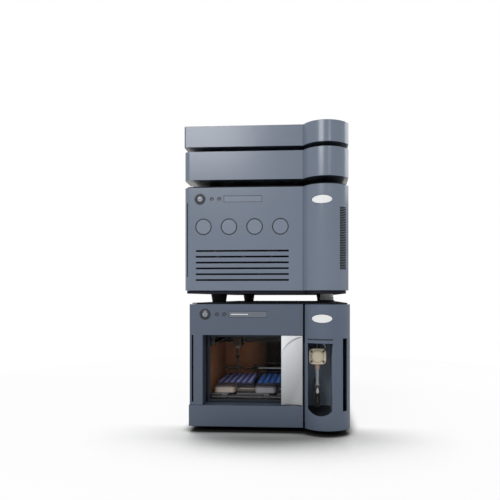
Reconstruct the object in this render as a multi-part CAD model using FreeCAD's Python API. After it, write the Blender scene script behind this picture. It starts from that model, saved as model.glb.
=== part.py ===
"""Bench-top liquid chromatography stack: a sampler with a glass door, a pump module, a thin
column heater and an open bottle tray, each behind a front cover that ends in a round column.

Millimetres. +X to the right, +Y to the back, +Z up. The origin is the centre of the stack's
footprint, on the bench. Z values of a module are heights above the bench.
"""

import FreeCAD, Part
import math
import os

from FreeCAD import Vector as V

os.makedirs("parts", exist_ok=True)

# Widths and depths shared by the stack
OVERALL_WIDTH = 344.0
OVERALL_DEPTH = 712.0
UPPER_WIDTH = 341.0  # of the three upper front covers
SAMPLER_WIDTH = 333.0
COLUMN_WIDTH = 95.5  # of the sampler's round column, from its crease to its right edge
UPPER_LEFT = -OVERALL_WIDTH / 2
UPPER_RIGHT = UPPER_LEFT + UPPER_WIDTH
SAMPLER_RIGHT = OVERALL_WIDTH / 2
SAMPLER_LEFT = SAMPLER_RIGHT - SAMPLER_WIDTH
SEAM_X = SAMPLER_RIGHT - COLUMN_WIDTH  # crease where the flat front meets the round column
COLUMN_RISE = 28.0  # how far the column stands out in front of the flat front
BADGE_STAND = 1.0  # the blank badges stand this proud of the column
INLET_STAND = 2.0  # the mains inlets' flange stands this proud of the rear panels
FLAT_Y = -OVERALL_DEPTH / 2 + BADGE_STAND + COLUMN_RISE
REAR_Y = OVERALL_DEPTH / 2 - INLET_STAND  # outer face of the rear panels
SHEET = 2.0  # steel sheet
SKIN = 3.0  # moulded cover wall
RUN = 0.4  # running gap between a moving cover and what it passes
FIT = 0.05  # radial gap of a pin in its hole
CUT_OVER = 10.0  # how far a cutting shape runs past what it cuts
UPPER_WING = 12.0  # radius of the left corner of an upper cover
SMALL_WING = 3.0

# Heights
FOOT_HEIGHT = 10.0
SAMPLER_HEIGHT = 256.0
PUMP_GAP = 28.5  # from the sampler's covers up to the pump's door
PUMP_HEIGHT = 214.0
HEATER_GAP = 16.0
HEATER_HEIGHT = 59.0
TRAY_GAP = 9.5
TRAY_HEIGHT = 43.5
SKIRT_HEIGHT = 46.0
SAMPLER_TOP = FOOT_HEIGHT + SAMPLER_HEIGHT
SKIRT_TOP = FOOT_HEIGHT + SKIRT_HEIGHT
PUMP_BOTTOM = SAMPLER_TOP + PUMP_GAP
PUMP_TOP = PUMP_BOTTOM + PUMP_HEIGHT
HEATER_BOTTOM = PUMP_TOP + HEATER_GAP
HEATER_TOP = HEATER_BOTTOM + HEATER_HEIGHT
TRAY_BOTTOM = HEATER_TOP + TRAY_GAP
TRAY_TOP = TRAY_BOTTOM + TRAY_HEIGHT
PAN_DROP = 6.5  # the pump's base frame hangs this far below its door
LID_RISE = 1.0  # gap between a front cover and the lid over it

# Cases behind the covers
FRAME_INSET = 5.0  # base frame and lids stand in from the covers
CASE_LEFT = SAMPLER_LEFT + FRAME_INSET
SAMPLER_CASE_RIGHT = SAMPLER_RIGHT - FRAME_INSET
UPPER_CASE_LEFT = UPPER_LEFT + FRAME_INSET
UPPER_CASE_RIGHT = UPPER_RIGHT - FRAME_INSET
SAMPLER_COVER_DEPTH = 46.0
PUMP_DOOR_DEPTH = 70.0
PUMP_DOOR_SWING = 7.5  # room behind the door's back edge for its turning corner
COLUMN_DOOR_SWING = 4.2
HEATER_COVER_DEPTH = 60.0
SIDE_VENTS = 14
SIDE_VENT_PITCH = 12.0
SIDE_VENT_WIDTH = 3.5
SIDE_VENT_TO_REAR = 234.0
SIDE_VENT_FIRST_Y = REAR_Y - SIDE_VENT_TO_REAR
SIDE_VENT_RISE = 40.0
SIDE_VENT_DROP = 60.0

# Fans, guards and mains inlets in the rear panels
FAN_SIZE = 92.0
FAN_DEPTH = 25.0
FAN_BORE_R = 43.0
ROTOR_R = 41.0
ROTOR_GAP = 3.0  # between the rotor's hub and each end of the frame
HUB_R = 15.0
SPIDER_THICK = 3.0
SPIDER_ARM = 5.0
FAN_INSET = {"sampler": 82.0, "pump": 79.0}  # fan's centre from the module's right side
FAN_RISE = {"sampler": 140.0, "pump": 105.5}  # and above the module's underside
FAN_XS = {"sampler": SAMPLER_RIGHT - FAN_INSET["sampler"], "pump": UPPER_RIGHT - FAN_INSET["pump"]}
FAN_ZS = {"sampler": FOOT_HEIGHT + FAN_RISE["sampler"], "pump": PUMP_BOTTOM + FAN_RISE["pump"]}
BLADE_COUNT = 7
BLADE_THICK = 2.0
BLADE_TILT = 38.0
GUARD_RINGS = ((42.0, 35.0), (32.0, 25.0), (22.0, 17.0))
GUARD_BAR = 4.0
INLET_INSET = {"sampler": 51.0, "pump": 62.0}  # inlet's centre from the module's left side
INLET_XS = {"sampler": SAMPLER_LEFT + INLET_INSET["sampler"], "pump": UPPER_LEFT + INLET_INSET["pump"]}
INLET_WIDTH = 27.5
INLET_HEIGHT = 20.0
INLET_RISE = 38.0
INLET_LIP = 4.0
INLET_DEEP = 22.0
INLET_WALL = 2.0
INLET_FLOOR = 4.0
INLET_BLADE = (2.0, 5.0)  # width and height of a contact blade
INLET_BLADES = ((-7.0, 7.5), (0.0, 12.5), (7.0, 7.5))

# Sampler's fascia, skirt and door
FASCIA_END = 0.5  # the flat covers stop this short of the crease
FASCIA_SLOT_X = SAMPLER_LEFT + 6.7
FASCIA_SLOT_WIDTH = 3.4
SKIRT_PROUD = 1.5
DOOR_LEFT = SAMPLER_LEFT + 28.0  # edges of the hole in the fascia
DOOR_TOP = SAMPLER_TOP - 64.0
DOOR_GAP = 1.0
DOOR_SET_BACK = 32.0  # the door frame's front face behind the flat front
DOOR_THICK = 8.0
PANE_THICK = 4.0
PANE_LAP = 3.0
STILE_LAP = 1.0
PANE_CLEAR = 0.2
STILE = 8.0  # hinge stile and rails of the door frame
RAIL = 5.5
HANDLE_WIDTH = 44.0
HANDLE_WALL = 3.0
HANDLE_LIP_BACK = 3.0  # the grip's free edge stands this far behind the flat front
HANDLE_SCOOP = 9.0  # how far the grip's face curves in
HANDLE_ROOT = 15.0  # width of the web that carries the grip
SCOOP_TOP = 4.0  # the scoop's round end: its height below the grip's top, right and left
SCOOP_SHOULDER = 52.0
SCOOP_SLOPE = 3.0
PIN_R = 2.0
PIN_DEPTH = 9.0

# Sample chamber
CHAMBER_LEFT = DOOR_LEFT + 3.0
CHAMBER_RIGHT = SEAM_X - 4.5
CHAMBER_FLOOR = SKIRT_TOP + 4.0
CHAMBER_CEILING = DOOR_TOP - 4.0
CHAMBER_FRONT = FLAT_Y + SAMPLER_COVER_DEPTH + 2.0
LINER_LEG_INSET = 30.0
SHELF_THICK = 10.0
SHELF_TOP = CHAMBER_FLOOR + SHELF_THICK
SHELF_LEAD = 4.0  # the shelf runs this far in front of the carriers' grips
SHELF_SIDE_GAP = 1.0
SHELF_BACK_GAP = 2.0
PLATE_ROOM_LEFT = 5.0  # the two plates' places share what these leave of the chamber's width
PLATE_ROOM_RIGHT = 15.0
PLATE_GAP = 5.5
PLATE_PITCH = (CHAMBER_RIGHT - CHAMBER_LEFT - PLATE_ROOM_LEFT - PLATE_ROOM_RIGHT) / 2
PLATE_WIDTH = PLATE_PITCH - PLATE_GAP  # 85.5, a standard sample plate with its long side front to back
PLATE_LENGTH = 127.8
PLATE_HEIGHT = 14.0
PLATE_SKIRT = 4.0
PLATE_STEP = 1.2
PLATE_SET_BACK = 110.0  # plates' front edge behind the flat front
PLATE_FRONT = FLAT_Y + PLATE_SET_BACK
FIRST_PLATE_X = CHAMBER_LEFT + PLATE_ROOM_LEFT + PLATE_PITCH / 2
PLATE_XS = (FIRST_PLATE_X, FIRST_PLATE_X + PLATE_PITCH)
CHAMBER_BACK = PLATE_FRONT + PLATE_LENGTH + 29.2
CARRIER_THICK = 3.0
CARRIER_MARGIN = 1.0
GRIP_WIDTH = PLATE_WIDTH - 38.5
GRIP_DEPTH = 44.0
GRIP_HEIGHT = 15.0
GRIP_SHIFT = 0.25 - (PLATE_WIDTH - GRIP_WIDTH) / 2
GRIP_CORNER_R = 9.0
GRIP_EDGE_R = 3.0
KEEL_WIDTH = 18.0
KEEL_HEIGHT = 4.0
KEEL_CLEAR = 0.3
LATCH_XS = (PLATE_XS[0] - 18.5, PLATE_XS[1] - 16.5)
LATCH_R = 4.5
LATCH_STEM_R = 2.5
LATCH_STAND = 4.0
LATCH_DEEP = 8.0
WASH_X = PLATE_XS[0] + 32.5
WASH_Y = CHAMBER_BACK - 7.0
WASH_BLOCK = (22.0, 10.0, 6.0)
WASH_PITCH = 10.0
WASH_POST_R = 3.5
WASH_BORE_R = 2.0
WASH_HEIGHT = 38.0
WELL_PITCH = PLATE_WIDTH / 9.5
WELL_SIZE = WELL_PITCH - 2.0
WELL_DEPTH = 10.0
WELL_COLUMNS = 8
WELL_ROWS = 12

# Needle drive over the plates
ROD_R = 4.0
ROD_Z = CHAMBER_CEILING - 17.0
ROD_INSET = 8.0
HANGER_SET_BACK = 6.0
HANGER_THICK = 6.0
HANGER_HALF = 5.0
PARKED_COLUMN = 3  # the needle rests over this well of the left plate
PARKED_ROW = 5
BEAM_DEPTH = 16.0
BEAM_HEIGHT = 18.0
BEAM_END_GAP = 2.5
BEAM_BEHIND_NEEDLE = 8.0
NEEDLE_X = PLATE_XS[0] + (PARKED_COLUMN - (WELL_COLUMNS - 1) / 2) * WELL_PITCH
NEEDLE_Y = PLATE_FRONT + PLATE_LENGTH / 2 + (PARKED_ROW - (WELL_ROWS - 1) / 2) * WELL_PITCH
BEAM_Y = NEEDLE_Y + BEAM_BEHIND_NEEDLE
NEEDLE_TIP_Z = SHELF_TOP + RUN + CARRIER_THICK + PLATE_HEIGHT + 4.6
NEEDLE_R = 0.9
NEEDLE_LENGTH = 20.0
NEEDLE_HUB = 8.0
NEEDLE_HUB_R = 1.6
BAR_WIDTH = 6.0
BAR_BOTTOM = NEEDLE_TIP_Z + NEEDLE_LENGTH
BAR_TOP = CHAMBER_CEILING - 18.0
CLAMP_HALF = 12.0
CLAMP_HEIGHT = 3.0
BALL_RISE = 26.0
BALL_R = 5.0
CARRIAGE_WIDTH = 20.0
CARRIAGE_BOTTOM = CHAMBER_CEILING - 34.0
CARRIAGE_TOP = CHAMBER_CEILING - 3.0
CARRIAGE_WALL = 5.0
PULLEY_R = 7.0
PULLEY_THICK = 4.0
SLIDE_CLEAR = 0.3
STOP_BAR_Z = SHELF_TOP + 29.5
STOP_BAR_R = 2.4
STOP_BAR_INSET = 18.0

# Syringe recess in the sampler's column
COLUMN_GAP = 3.5  # black seam between fascia and column door
RECESS_LEFT = SEAM_X + 9.5
RECESS_WIDTH = 50.0
RECESS_RIGHT = RECESS_LEFT + RECESS_WIDTH
RECESS_FLOOR = FOOT_HEIGHT + 24.5
RECESS_TOP = DOOR_TOP - 5.0
RECESS_BACK = FLAT_Y + 99.0
RECESS_WALL = 2.0
SLEEVE_SET_BACK = 2.0  # gap between the column door's wall and the front edge of the recess sleeve
SEAM_FLANGE = 4.6  # the bay's cheek reaches this far left, behind the seam
WINDOW_BOTTOM = RECESS_FLOOR + 7.0
WINDOW_RISE = 13.0  # of the arc that ends the window below
WINDOW_TOP = RECESS_TOP - 9.5
LINTEL_LINE = 2.4  # a fine groove across the column above the window
LINTEL_RISE = 6.5
LINTEL_DEEP = 1.6
FINGER_SLOT_LEFT = SAMPLER_RIGHT - 15.5
FINGER_SLOT_RIGHT = SAMPLER_RIGHT - 7.0
FINGER_SLOT_BOTTOM = SKIRT_TOP - 6.0
COLUMN_DOOR_DEPTH = 14.0
COLUMN_HINGE_X = SAMPLER_RIGHT - 6.5
COLUMN_HINGE_Y = FLAT_Y + 10.0
HINGE_BOSS_R = 3.8
HINGE_BOSS_HEIGHT = 10.0
CUP_GAP = 0.5
CUP_WALL = 2.5
CUP_HEIGHT = 3.0
CUP_FLOOR = 1.2

# Syringe valve, syringe and tubing
VALVE_X = RECESS_LEFT + 20.0
VALVE_Z = RECESS_TOP - 40.0
VALVE_FRONT = FLAT_Y + 14.0
VALVE_THICK = 20.0
VALVE_WIDTH = 35.5
VALVE_HEIGHT = 32.8
VALVE_CORNER_R = 9.0
VALVE_DISC_R = 12.0
VALVE_DISC_RISE = 1.6
VALVE_NECK_R = 13.0
SCREW_R = 1.5
SCREW_HEAD_R = 2.3
SCREW_HEAD = 1.2
SCREW_SOCKET_R = 1.2
SCREW_LENGTH = 6.0
SCREW_ACROSS = 24.6
SCREW_UP = 21.0
SYRINGE_Y = FLAT_Y + 26.0
VALVE_BOTTOM = VALVE_Z - VALVE_HEIGHT / 2
COLLAR_R = 6.0
COLLAR_GAP = 0.2
COLLAR_NECK_R = 3.0
COLLAR_NECK = 4.0
BARREL_R = 4.0
BARREL_BORE = 3.0
BARREL_TOP = VALVE_Z - 27.0
BARREL_BOTTOM = BARREL_TOP - 34.0
BARREL_FLANGE = 1.5
BARREL_FLANGE_HEIGHT = 2.0
PLUNGER_HEAD_Z = BARREL_BOTTOM + 8.0
PLUNGER_HEAD = 6.0
STEM_R = 1.5
KNOB_R = 5.0
KNOB_HEIGHT = 13.0
KNOB_Z = BARREL_BOTTOM - 37.0
TIP_Z = BARREL_BOTTOM - 16.0
TIP_HEIGHT = 11.0
TIP_R = 3.6
TIP_END_R = 1.6
ARM_HALF = 4.0
ARM_HEIGHT = 7.0
ARM_RISE = 3.0
SLIDER_BACK = SYRINGE_Y + 14.0
RAIL_HALF = 6.0
RAIL_THICK = 8.0
RAIL_DROP = 10.0  # the driver's rail starts this far below the knob
TRACK_END = 2.0
CLAMP_THICK = 5.0
CLAMP_BORE_R = 3.9
TOP_NUT_R = 4.0
TOP_NUT_HEIGHT = 9.0
SIDE_NUT_R = 2.6
SIDE_NUT_HEIGHT = 6.0
LOOP_R = 0.9
LOOP_BEND = 8.0
LOOP_RISE = 3.0
LOOP_RUN = 5.0
LOOP_START = (VALVE_X + 16.0, SYRINGE_Y - 6.0, VALVE_Z + 16.5)

# Controls and badges
BUTTON_R = 8.5
BUTTON_RING_R = 11.5
BUTTON_RING_DEEP = 1.5
BUTTON_GAP = 0.4
BUTTON_STAND = 1.2
BUTTON_CAP = 5.0
BUTTON_DOME_R = 30.0
BUTTON_STEM = 3.5
BUTTON_COLLAR = 1.5
LED_R = 2.8
DISPLAY_WIDTH = 80.0
DISPLAY_HEIGHT = 13.5
DISPLAY_DEEP = 1.2
CONTROL_GAP = 0.2
PUMP_CONTROL_Z = PUMP_TOP - 24.0
PUMP_BUTTON_X = UPPER_LEFT + 33.7
SAMPLER_CONTROL_Z = SAMPLER_TOP - 21.0
SAMPLER_BUTTON_X = SAMPLER_LEFT + 33.3
BUTTON_TO_LED = 24.7
LED_PITCH = 15.4
LED_TO_DISPLAY = 9.5
BADGE_HALF_WIDTH = 20.3
BADGE_HALF_HEIGHT = 8.3
BADGE_SEAT = 1.0  # depth of the badge's seat in the column
BADGE_GAP = 0.8
PUMP_BADGE_Z = PUMP_TOP - 31.5
SAMPLER_BADGE_Z = SAMPLER_TOP - 28.5
BADGE_INSET = {"sampler": 57.5, "pump": 54.5}  # badge's centre from the module's right side

# Pump door
PUMP_HINGE_X = UPPER_LEFT + 10.0
PUMP_HINGE_Y = FLAT_Y + PUMP_DOOR_DEPTH - 5.0
CAP_R = 16.2
CAP_GAP = 0.9
CAP_LIP = 2.5
CAP_BACK = 2.0
CAP_PITCH = 53.5
CAP_FIRST_X = UPPER_LEFT + 40.8
CAP_COUNT = 4
CAP_Z = PUMP_TOP - 81.5
LOUVRE_LEFT = UPPER_LEFT + 24.7
LOUVRE_RIGHT = SEAM_X - 29.9
LOUVRE_HEIGHT = 3.6
LOUVRE_PITCH = 12.1
LOUVRE_LOWEST_Z = PUMP_BOTTOM + 21.8
LOUVRE_COUNT = 6
COMB_LEFT = UPPER_RIGHT - 18.5
COMB_RIGHT = UPPER_RIGHT - 6.0
COMB_SLOT = 1.7
COMB_PITCH = 3.35
COMB_BOTTOM = PUMP_BOTTOM + 42.5
COMB_TOP = PUMP_TOP - 45.5
COMB_COUNT = int((COMB_TOP - COMB_BOTTOM) / COMB_PITCH) + 1
WING_SLOT_X = UPPER_LEFT + 6.8
WING_SLOT_WIDTH = 2.0
WING_SLOT_BOTTOM = PUMP_BOTTOM + 28.5
WING_SLOT_TOP = PUMP_TOP - 31.5

# Pumps behind the pump door
BULKHEAD_Y = FLAT_Y + PUMP_DOOR_DEPTH + 8.0
HEAD_INSETS = (90.0, 208.0)  # centres of the two pairs of heads from the upper modules' left side
HEAD_XS = [UPPER_LEFT + inset for inset in HEAD_INSETS]
HEAD_Z = PUMP_BOTTOM + 107.5
HEAD_R = 23.0
HEAD_LENGTH = 34.0
HEAD_BARREL_R = 19.0
HEAD_FLANGE = 14.0
HEAD_PAIR_PITCH = 56.0
CHECK_VALVE_R = 6.5
CHECK_VALVE_LENGTH = 16.0

# Tray and feet
TRAY_WALL = 4.0
TRAY_CORNER = 4.0
TRAY_RIB_INSET = 224.0  # the ribs' distance from the tray's back and, with its rim, from its front
TRAY_RIB_YS = (FLAT_Y + TRAY_RIB_INSET + 13.0, REAR_Y - TRAY_RIB_INSET)
TRAY_RIB_WIDTH = 3.0
TRAY_RIB_RISE = 4.0
FRONT_FOOT_Y = FLAT_Y + 77.0
REAR_FOOT_Y = REAR_Y - 54.0
PUMP_REAR_FOOT_Y = REAR_Y - 64.0
BENCH_FOOT_Y = FLAT_Y + 57.0
UPPER_FOOT_SET_BACK = 127.0
UPPER_FOOT_Y = FLAT_Y + UPPER_FOOT_SET_BACK
LEFT_FOOT_X = SAMPLER_LEFT + 36.0
RIGHT_FOOT_X = SAMPLER_RIGHT - 42.0
PUMP_LEFT_FOOT_X = UPPER_LEFT + 60.0
PUMP_RIGHT_FOOT_X = UPPER_RIGHT - 42.0
UPPER_LEFT_FOOT_X = UPPER_LEFT + 42.0
UPPER_RIGHT_FOOT_X = UPPER_RIGHT - 39.0
BENCH_FOOT_R = (14.0, 17.0)  # below and above
PUMP_FOOT_R = (15.0, 18.0)
UPPER_FOOT_R = (13.0, 15.0)
LEVELLING_PAD_R = 16.5
LEVELLING_PAD = 5.5
LEVELLING_COLLAR_R = 14.0


def box(x0, x1, y0, y1, z0, z1):
    return Part.makeBox(x1 - x0, y1 - y0, z1 - z0, V(x0, y0, z0))


def rod(r, start, direction, length):
    return Part.makeCylinder(r, length, V(*start), V(*direction))


def arc(a, b, c):
    return Part.Arc(V(*a), V(*b), V(*c)).toShape()


def line(a, b):
    return Part.LineSegment(V(*a), V(*b)).toShape()


def column_circle(right):
    """Centre x, centre y and radius of the column's front, whose chord runs from the crease to right."""
    half = (right - SEAM_X) / 2
    radius = (half * half + COLUMN_RISE * COLUMN_RISE) / (2 * COLUMN_RISE)
    return SEAM_X + half, FLAT_Y - COLUMN_RISE + radius, radius


def column_y(x, right, inset=0.0):
    cx, cy, r = column_circle(right)
    return cy - math.sqrt((r - inset) ** 2 - (x - cx) ** 2)


def cover_plan(left, wing, right, back, inset=0.0):
    """Plan face of a front cover: round left corner, flat front, then the round column."""
    cx, cy, r = column_circle(right)
    r = r - inset
    front = FLAT_Y + inset
    crease = cx - math.sqrt(r * r - (front - cy) ** 2)
    edge_x = right - inset
    edge_y = cy - math.sqrt(r * r - (edge_x - cx) ** 2)
    turn = max(wing - inset, 0.5)
    lx = left + inset
    diag = turn * (1 - math.sqrt(0.5))
    edges = [
        line((lx, back, 0), (lx, front + turn, 0)),
        arc((lx, front + turn, 0), (lx + diag, front + diag, 0), (lx + turn, front, 0)),
        line((lx + turn, front, 0), (crease, front, 0)),
        arc((crease, front, 0), (cx, cy - r, 0), (edge_x, edge_y, 0)),
        line((edge_x, edge_y, 0), (edge_x, back, 0)),
        line((edge_x, back, 0), (lx, back, 0)),
    ]
    return Part.Face(Part.Wire(edges))


def prism(face, z0, z1):
    solid = face.extrude(V(0, 0, z1 - z0))
    solid.translate(V(0, 0, z0))
    return solid


def cover_shell(left, wing, right, back, z0, z1, wall=SKIN):
    """A front cover: closed front, sides, top and bottom, open at the back."""
    outer = prism(cover_plan(left, wing, right, back), z0, z1)
    inner = prism(cover_plan(left, wing, right, back + 5, wall), z0 + wall, z1 - wall)
    return outer.cut(inner)


def tube(points_to_edges, r, start, direction):
    """A round tube swept along straight runs joined by tangent arcs."""
    wire = Part.Wire(points_to_edges)
    ring = Part.Wire([Part.Circle(V(*start), V(*direction), r).toShape()])
    return wire.makePipeShell([ring], True, True)


def save(name, shape):
    shape = shape.removeSplitter()
    shape.exportStep("parts/%s.step" % name)


def save_group(name, shapes):
    Part.makeCompound([s.removeSplitter() for s in shapes]).exportStep("parts/%s.step" % name)


# Cases


def base_frame(left, right, bottom, top):
    """A folded pan: the plan of the cover, drawn in, with an upturned rim."""
    plan = cover_plan(left, SMALL_WING, right, REAR_Y, FRAME_INSET)
    inner = cover_plan(left, SMALL_WING, right, REAR_Y - SHEET, FRAME_INSET + SHEET)
    return prism(plan, bottom, top).cut(prism(inner, bottom + SHEET, top))


def side_panels(left, right, left_front, right_front, z0, z1):
    """Two flat side sheets with a row of upright vent slots towards the back."""
    low, high = z0 + SIDE_VENT_RISE, z1 - SIDE_VENT_DROP
    panels = []
    for x, front in ((left, left_front), (right - SHEET, right_front)):
        panel = box(x, x + SHEET, front, REAR_Y - SHEET, z0, z1)
        slots = []
        for i in range(SIDE_VENTS):
            y = SIDE_VENT_FIRST_Y + i * SIDE_VENT_PITCH
            slots.append(box(x - 1, x + SHEET + 1, y, y + SIDE_VENT_WIDTH, low, high))
        panels.append(panel.cut(slots))
    return panels


def lid(left, wing, right, z0):
    """The sheet over a case: it follows the front cover's plan, drawn in."""
    return prism(cover_plan(left, wing, right, REAR_Y, FRAME_INSET), z0, z0 + SHEET)


def rear_panel(module, left, right, z0, z1):
    """Rear sheet with a fan opening crossed by rings, and a hole for the mains inlet."""
    fan_x, fan_z = FAN_XS[module], FAN_ZS[module]
    panel = box(left, right, REAR_Y - SHEET, REAR_Y, z0, z1)
    depth = SHEET + 2
    y = REAR_Y - SHEET - 1
    half = GUARD_BAR / 2
    for outer, inner in GUARD_RINGS:
        ring = rod(outer, (fan_x, y, fan_z), (0, 1, 0), depth)
        ring = ring.cut(rod(inner, (fan_x, y, fan_z), (0, 1, 0), depth))
        ring = ring.cut(box(fan_x - half, fan_x + half, y - 1, y + depth + 1, fan_z - outer, fan_z + outer))
        ring = ring.cut(box(fan_x - outer, fan_x + outer, y - 1, y + depth + 1, fan_z - half, fan_z + half))
        panel = panel.cut(ring)
    return panel.cut(inlet_hole(module, z0))


def inlet_hole(module, z0):
    inlet_x = INLET_XS[module]
    half = INLET_WIDTH / 2
    z = z0 + INLET_RISE
    return box(inlet_x - half, inlet_x + half, REAR_Y - INLET_DEEP, REAR_Y + 1, z, z + INLET_HEIGHT)


def power_inlet(module, z0):
    """A mains inlet: flanged body with its socket cavity and three blades."""
    inlet_x = INLET_XS[module]
    half = INLET_WIDTH / 2 - CONTROL_GAP
    z = z0 + INLET_RISE + CONTROL_GAP
    top = z0 + INLET_RISE + INLET_HEIGHT - CONTROL_GAP
    deep = REAR_Y - INLET_DEEP
    body = box(inlet_x - half, inlet_x + half, deep, REAR_Y, z, top)
    lip = box(
        inlet_x - half - INLET_LIP, inlet_x + half + INLET_LIP,
        REAR_Y, REAR_Y + INLET_STAND, z - INLET_LIP, top + INLET_LIP,
    )
    w = INLET_WALL
    cavity = box(
        inlet_x - half + w, inlet_x + half - w,
        deep + INLET_FLOOR, REAR_Y + INLET_STAND + 1, z + w, top - w,
    )
    blade_x, blade_z = INLET_BLADE[0] / 2, INLET_BLADE[1] / 2
    blades = []
    for dx, dz in INLET_BLADES:
        x, mid = inlet_x + dx, z + dz
        low, high = mid - blade_z, mid + blade_z
        blades.append(box(x - blade_x, x + blade_x, deep + INLET_FLOOR - 1, REAR_Y - SKIN, low, high))
    return body.fuse(lip).cut(cavity).fuse(blades)


def fan_frame(module):
    x, z = FAN_XS[module], FAN_ZS[module]
    half = FAN_SIZE / 2
    y1 = REAR_Y - SHEET
    y0 = y1 - FAN_DEPTH
    frame = box(x - half, x + half, y0, y1, z - half, z + half)
    frame = frame.cut(rod(FAN_BORE_R, (x, y0 - 1, z), (0, 1, 0), FAN_DEPTH + 2))
    spider = rod(HUB_R, (x, y0, z), (0, 1, 0), SPIDER_THICK)
    arm_half = SPIDER_ARM / 2
    arm = box(x - arm_half, x + arm_half, y0, y0 + SPIDER_THICK, z, z + FAN_BORE_R + 1)
    arms = []
    for i in range(3):
        turned = arm.copy()
        turned.rotate(V(x, y0, z), V(0, 1, 0), i * 120.0)
        arms.append(turned)
    pin = rod(PIN_R, (x, y0, z), (0, 1, 0), FAN_DEPTH - ROTOR_GAP)
    return frame.fuse([spider, pin] + arms)


def fan_rotor(module):
    x, z = FAN_XS[module], FAN_ZS[module]
    y0 = REAR_Y - SHEET - FAN_DEPTH + SPIDER_THICK + RUN
    length = FAN_DEPTH - SPIDER_THICK - ROTOR_GAP
    hub = rod(HUB_R, (x, y0, z), (0, 1, 0), length)
    half = BLADE_THICK / 2
    over = CUT_OVER
    blade = box(x - half, x + half, y0 - over, y0 + length + over, z + HUB_R - 3, z + ROTOR_R + 4)
    blade.rotate(V(x, y0 + length / 2, z), V(0, 0, 1), BLADE_TILT)
    blades = []
    for i in range(BLADE_COUNT):
        turned = blade.copy()
        turned.rotate(V(x, y0, z), V(0, 1, 0), i * 360.0 / BLADE_COUNT)
        blades.append(turned)
    swept = rod(ROTOR_R, (x, y0, z), (0, 1, 0), length)
    rotor = hub.fuse([b.common(swept) for b in blades])
    return rotor.cut(rod(PIN_R + FIT, (x, y0 - 1, z), (0, 1, 0), length + 2))


def make_cases():
    pan_top = FOOT_HEIGHT + SHEET
    pan = cover_plan(SAMPLER_LEFT, SMALL_WING, SAMPLER_RIGHT, REAR_Y, FRAME_INSET)
    save("sampler_base_pan", prism(pan, FOOT_HEIGHT, pan_top))
    left_front = FLAT_Y + SAMPLER_COVER_DEPTH + RUN
    right_front = FLAT_Y + COLUMN_DOOR_DEPTH + COLUMN_DOOR_SWING
    lid_z = SAMPLER_TOP + LID_RISE
    panels = side_panels(CASE_LEFT, SAMPLER_CASE_RIGHT, left_front, right_front, pan_top, lid_z)
    save_group("sampler_side_panels", panels)
    save("sampler_rear_panel", rear_panel("sampler", CASE_LEFT, SAMPLER_CASE_RIGHT, pan_top, lid_z))
    save("sampler_lid", lid(SAMPLER_LEFT, SMALL_WING, SAMPLER_RIGHT, lid_z))

    frame_top = PUMP_BOTTOM - RUN
    save("pump_base_frame", base_frame(UPPER_LEFT, UPPER_RIGHT, PUMP_BOTTOM - PAN_DROP, frame_top))
    lid_z = PUMP_TOP + LID_RISE
    front = FLAT_Y + PUMP_DOOR_DEPTH + PUMP_DOOR_SWING
    panels = side_panels(UPPER_CASE_LEFT, UPPER_CASE_RIGHT, front, front, frame_top, lid_z)
    save_group("pump_side_panels", panels)
    save("pump_rear_panel", rear_panel("pump", UPPER_CASE_LEFT, UPPER_CASE_RIGHT, frame_top, lid_z))
    save("pump_lid", lid(UPPER_LEFT, UPPER_WING, UPPER_RIGHT, lid_z))


# Sampler front


def control_cuts(button_x, z, front):
    """Holes of one row of controls: the button with its ring, two lamps and the display window."""
    cuts = [
        rod(BUTTON_R + BUTTON_GAP, (button_x, front - 5, z), (0, 1, 0), 30),
        rod(BUTTON_RING_R, (button_x, front - 5, z), (0, 1, 0), 5 + BUTTON_RING_DEEP),
    ]
    for i in range(2):
        x = button_x + BUTTON_TO_LED + i * LED_PITCH
        cuts.append(rod(LED_R, (x, front - 5, z), (0, 1, 0), 12))
    x0, x1, z0, z1 = display_edges(button_x, z)
    cuts.append(box(x0, x1, front - 5, front + DISPLAY_DEEP, z0, z1))
    return cuts


def display_edges(button_x, z):
    x0 = button_x + BUTTON_TO_LED + LED_PITCH + LED_TO_DISPLAY
    return x0, x0 + DISPLAY_WIDTH, z - DISPLAY_HEIGHT / 2, z + DISPLAY_HEIGHT / 2


def power_button(x, z):
    """A domed round button with a stem and a collar behind the cover."""
    front = FLAT_Y - BUTTON_STAND
    cap = rod(BUTTON_R, (x, front, z), (0, 1, 0), BUTTON_CAP)
    cap = cap.common(Part.makeSphere(BUTTON_DOME_R, V(x, front + BUTTON_DOME_R, z)))
    stem = rod(BUTTON_R - SKIN, (x, front + BUTTON_CAP - 0.5, z), (0, 1, 0), BUTTON_STEM)
    stop = rod(BUTTON_R + BUTTON_COLLAR, (x, FLAT_Y + SKIN + 0.3, z), (0, 1, 0), BUTTON_COLLAR)
    return cap.fuse([stem, stop])


def lamps(button_x, z):
    lenses = []
    for i in range(2):
        x = button_x + BUTTON_TO_LED + i * LED_PITCH
        body = rod(LED_R - FIT, (x, FLAT_Y, z), (0, 1, 0), SKIN + 1)
        lenses.append(body.fuse(rod(LED_R + 1.2, (x, FLAT_Y + SKIN, z), (0, 1, 0), 1.5)))
    return lenses


def display_window(button_x, z):
    x0, x1, z0, z1 = display_edges(button_x, z)
    g = CONTROL_GAP
    return box(x0 + g, x1 - g, FLAT_Y + 0.2, FLAT_Y + DISPLAY_DEEP, z0 + g, z1 - g)


def oval_bar(x, grow, z):
    """A bar with the badge's oval section, along Y through the column's front."""
    oval = Part.Ellipse(V(0, 0, 0), BADGE_HALF_WIDTH + grow, BADGE_HALF_HEIGHT + grow).toShape()
    bar = Part.Face(Part.Wire([oval])).extrude(V(0, 0, COLUMN_WIDTH))
    bar.rotate(V(0, 0, 0), V(1, 0, 0), 90)
    bar.translate(V(x, FLAT_Y, z))
    return bar


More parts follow.
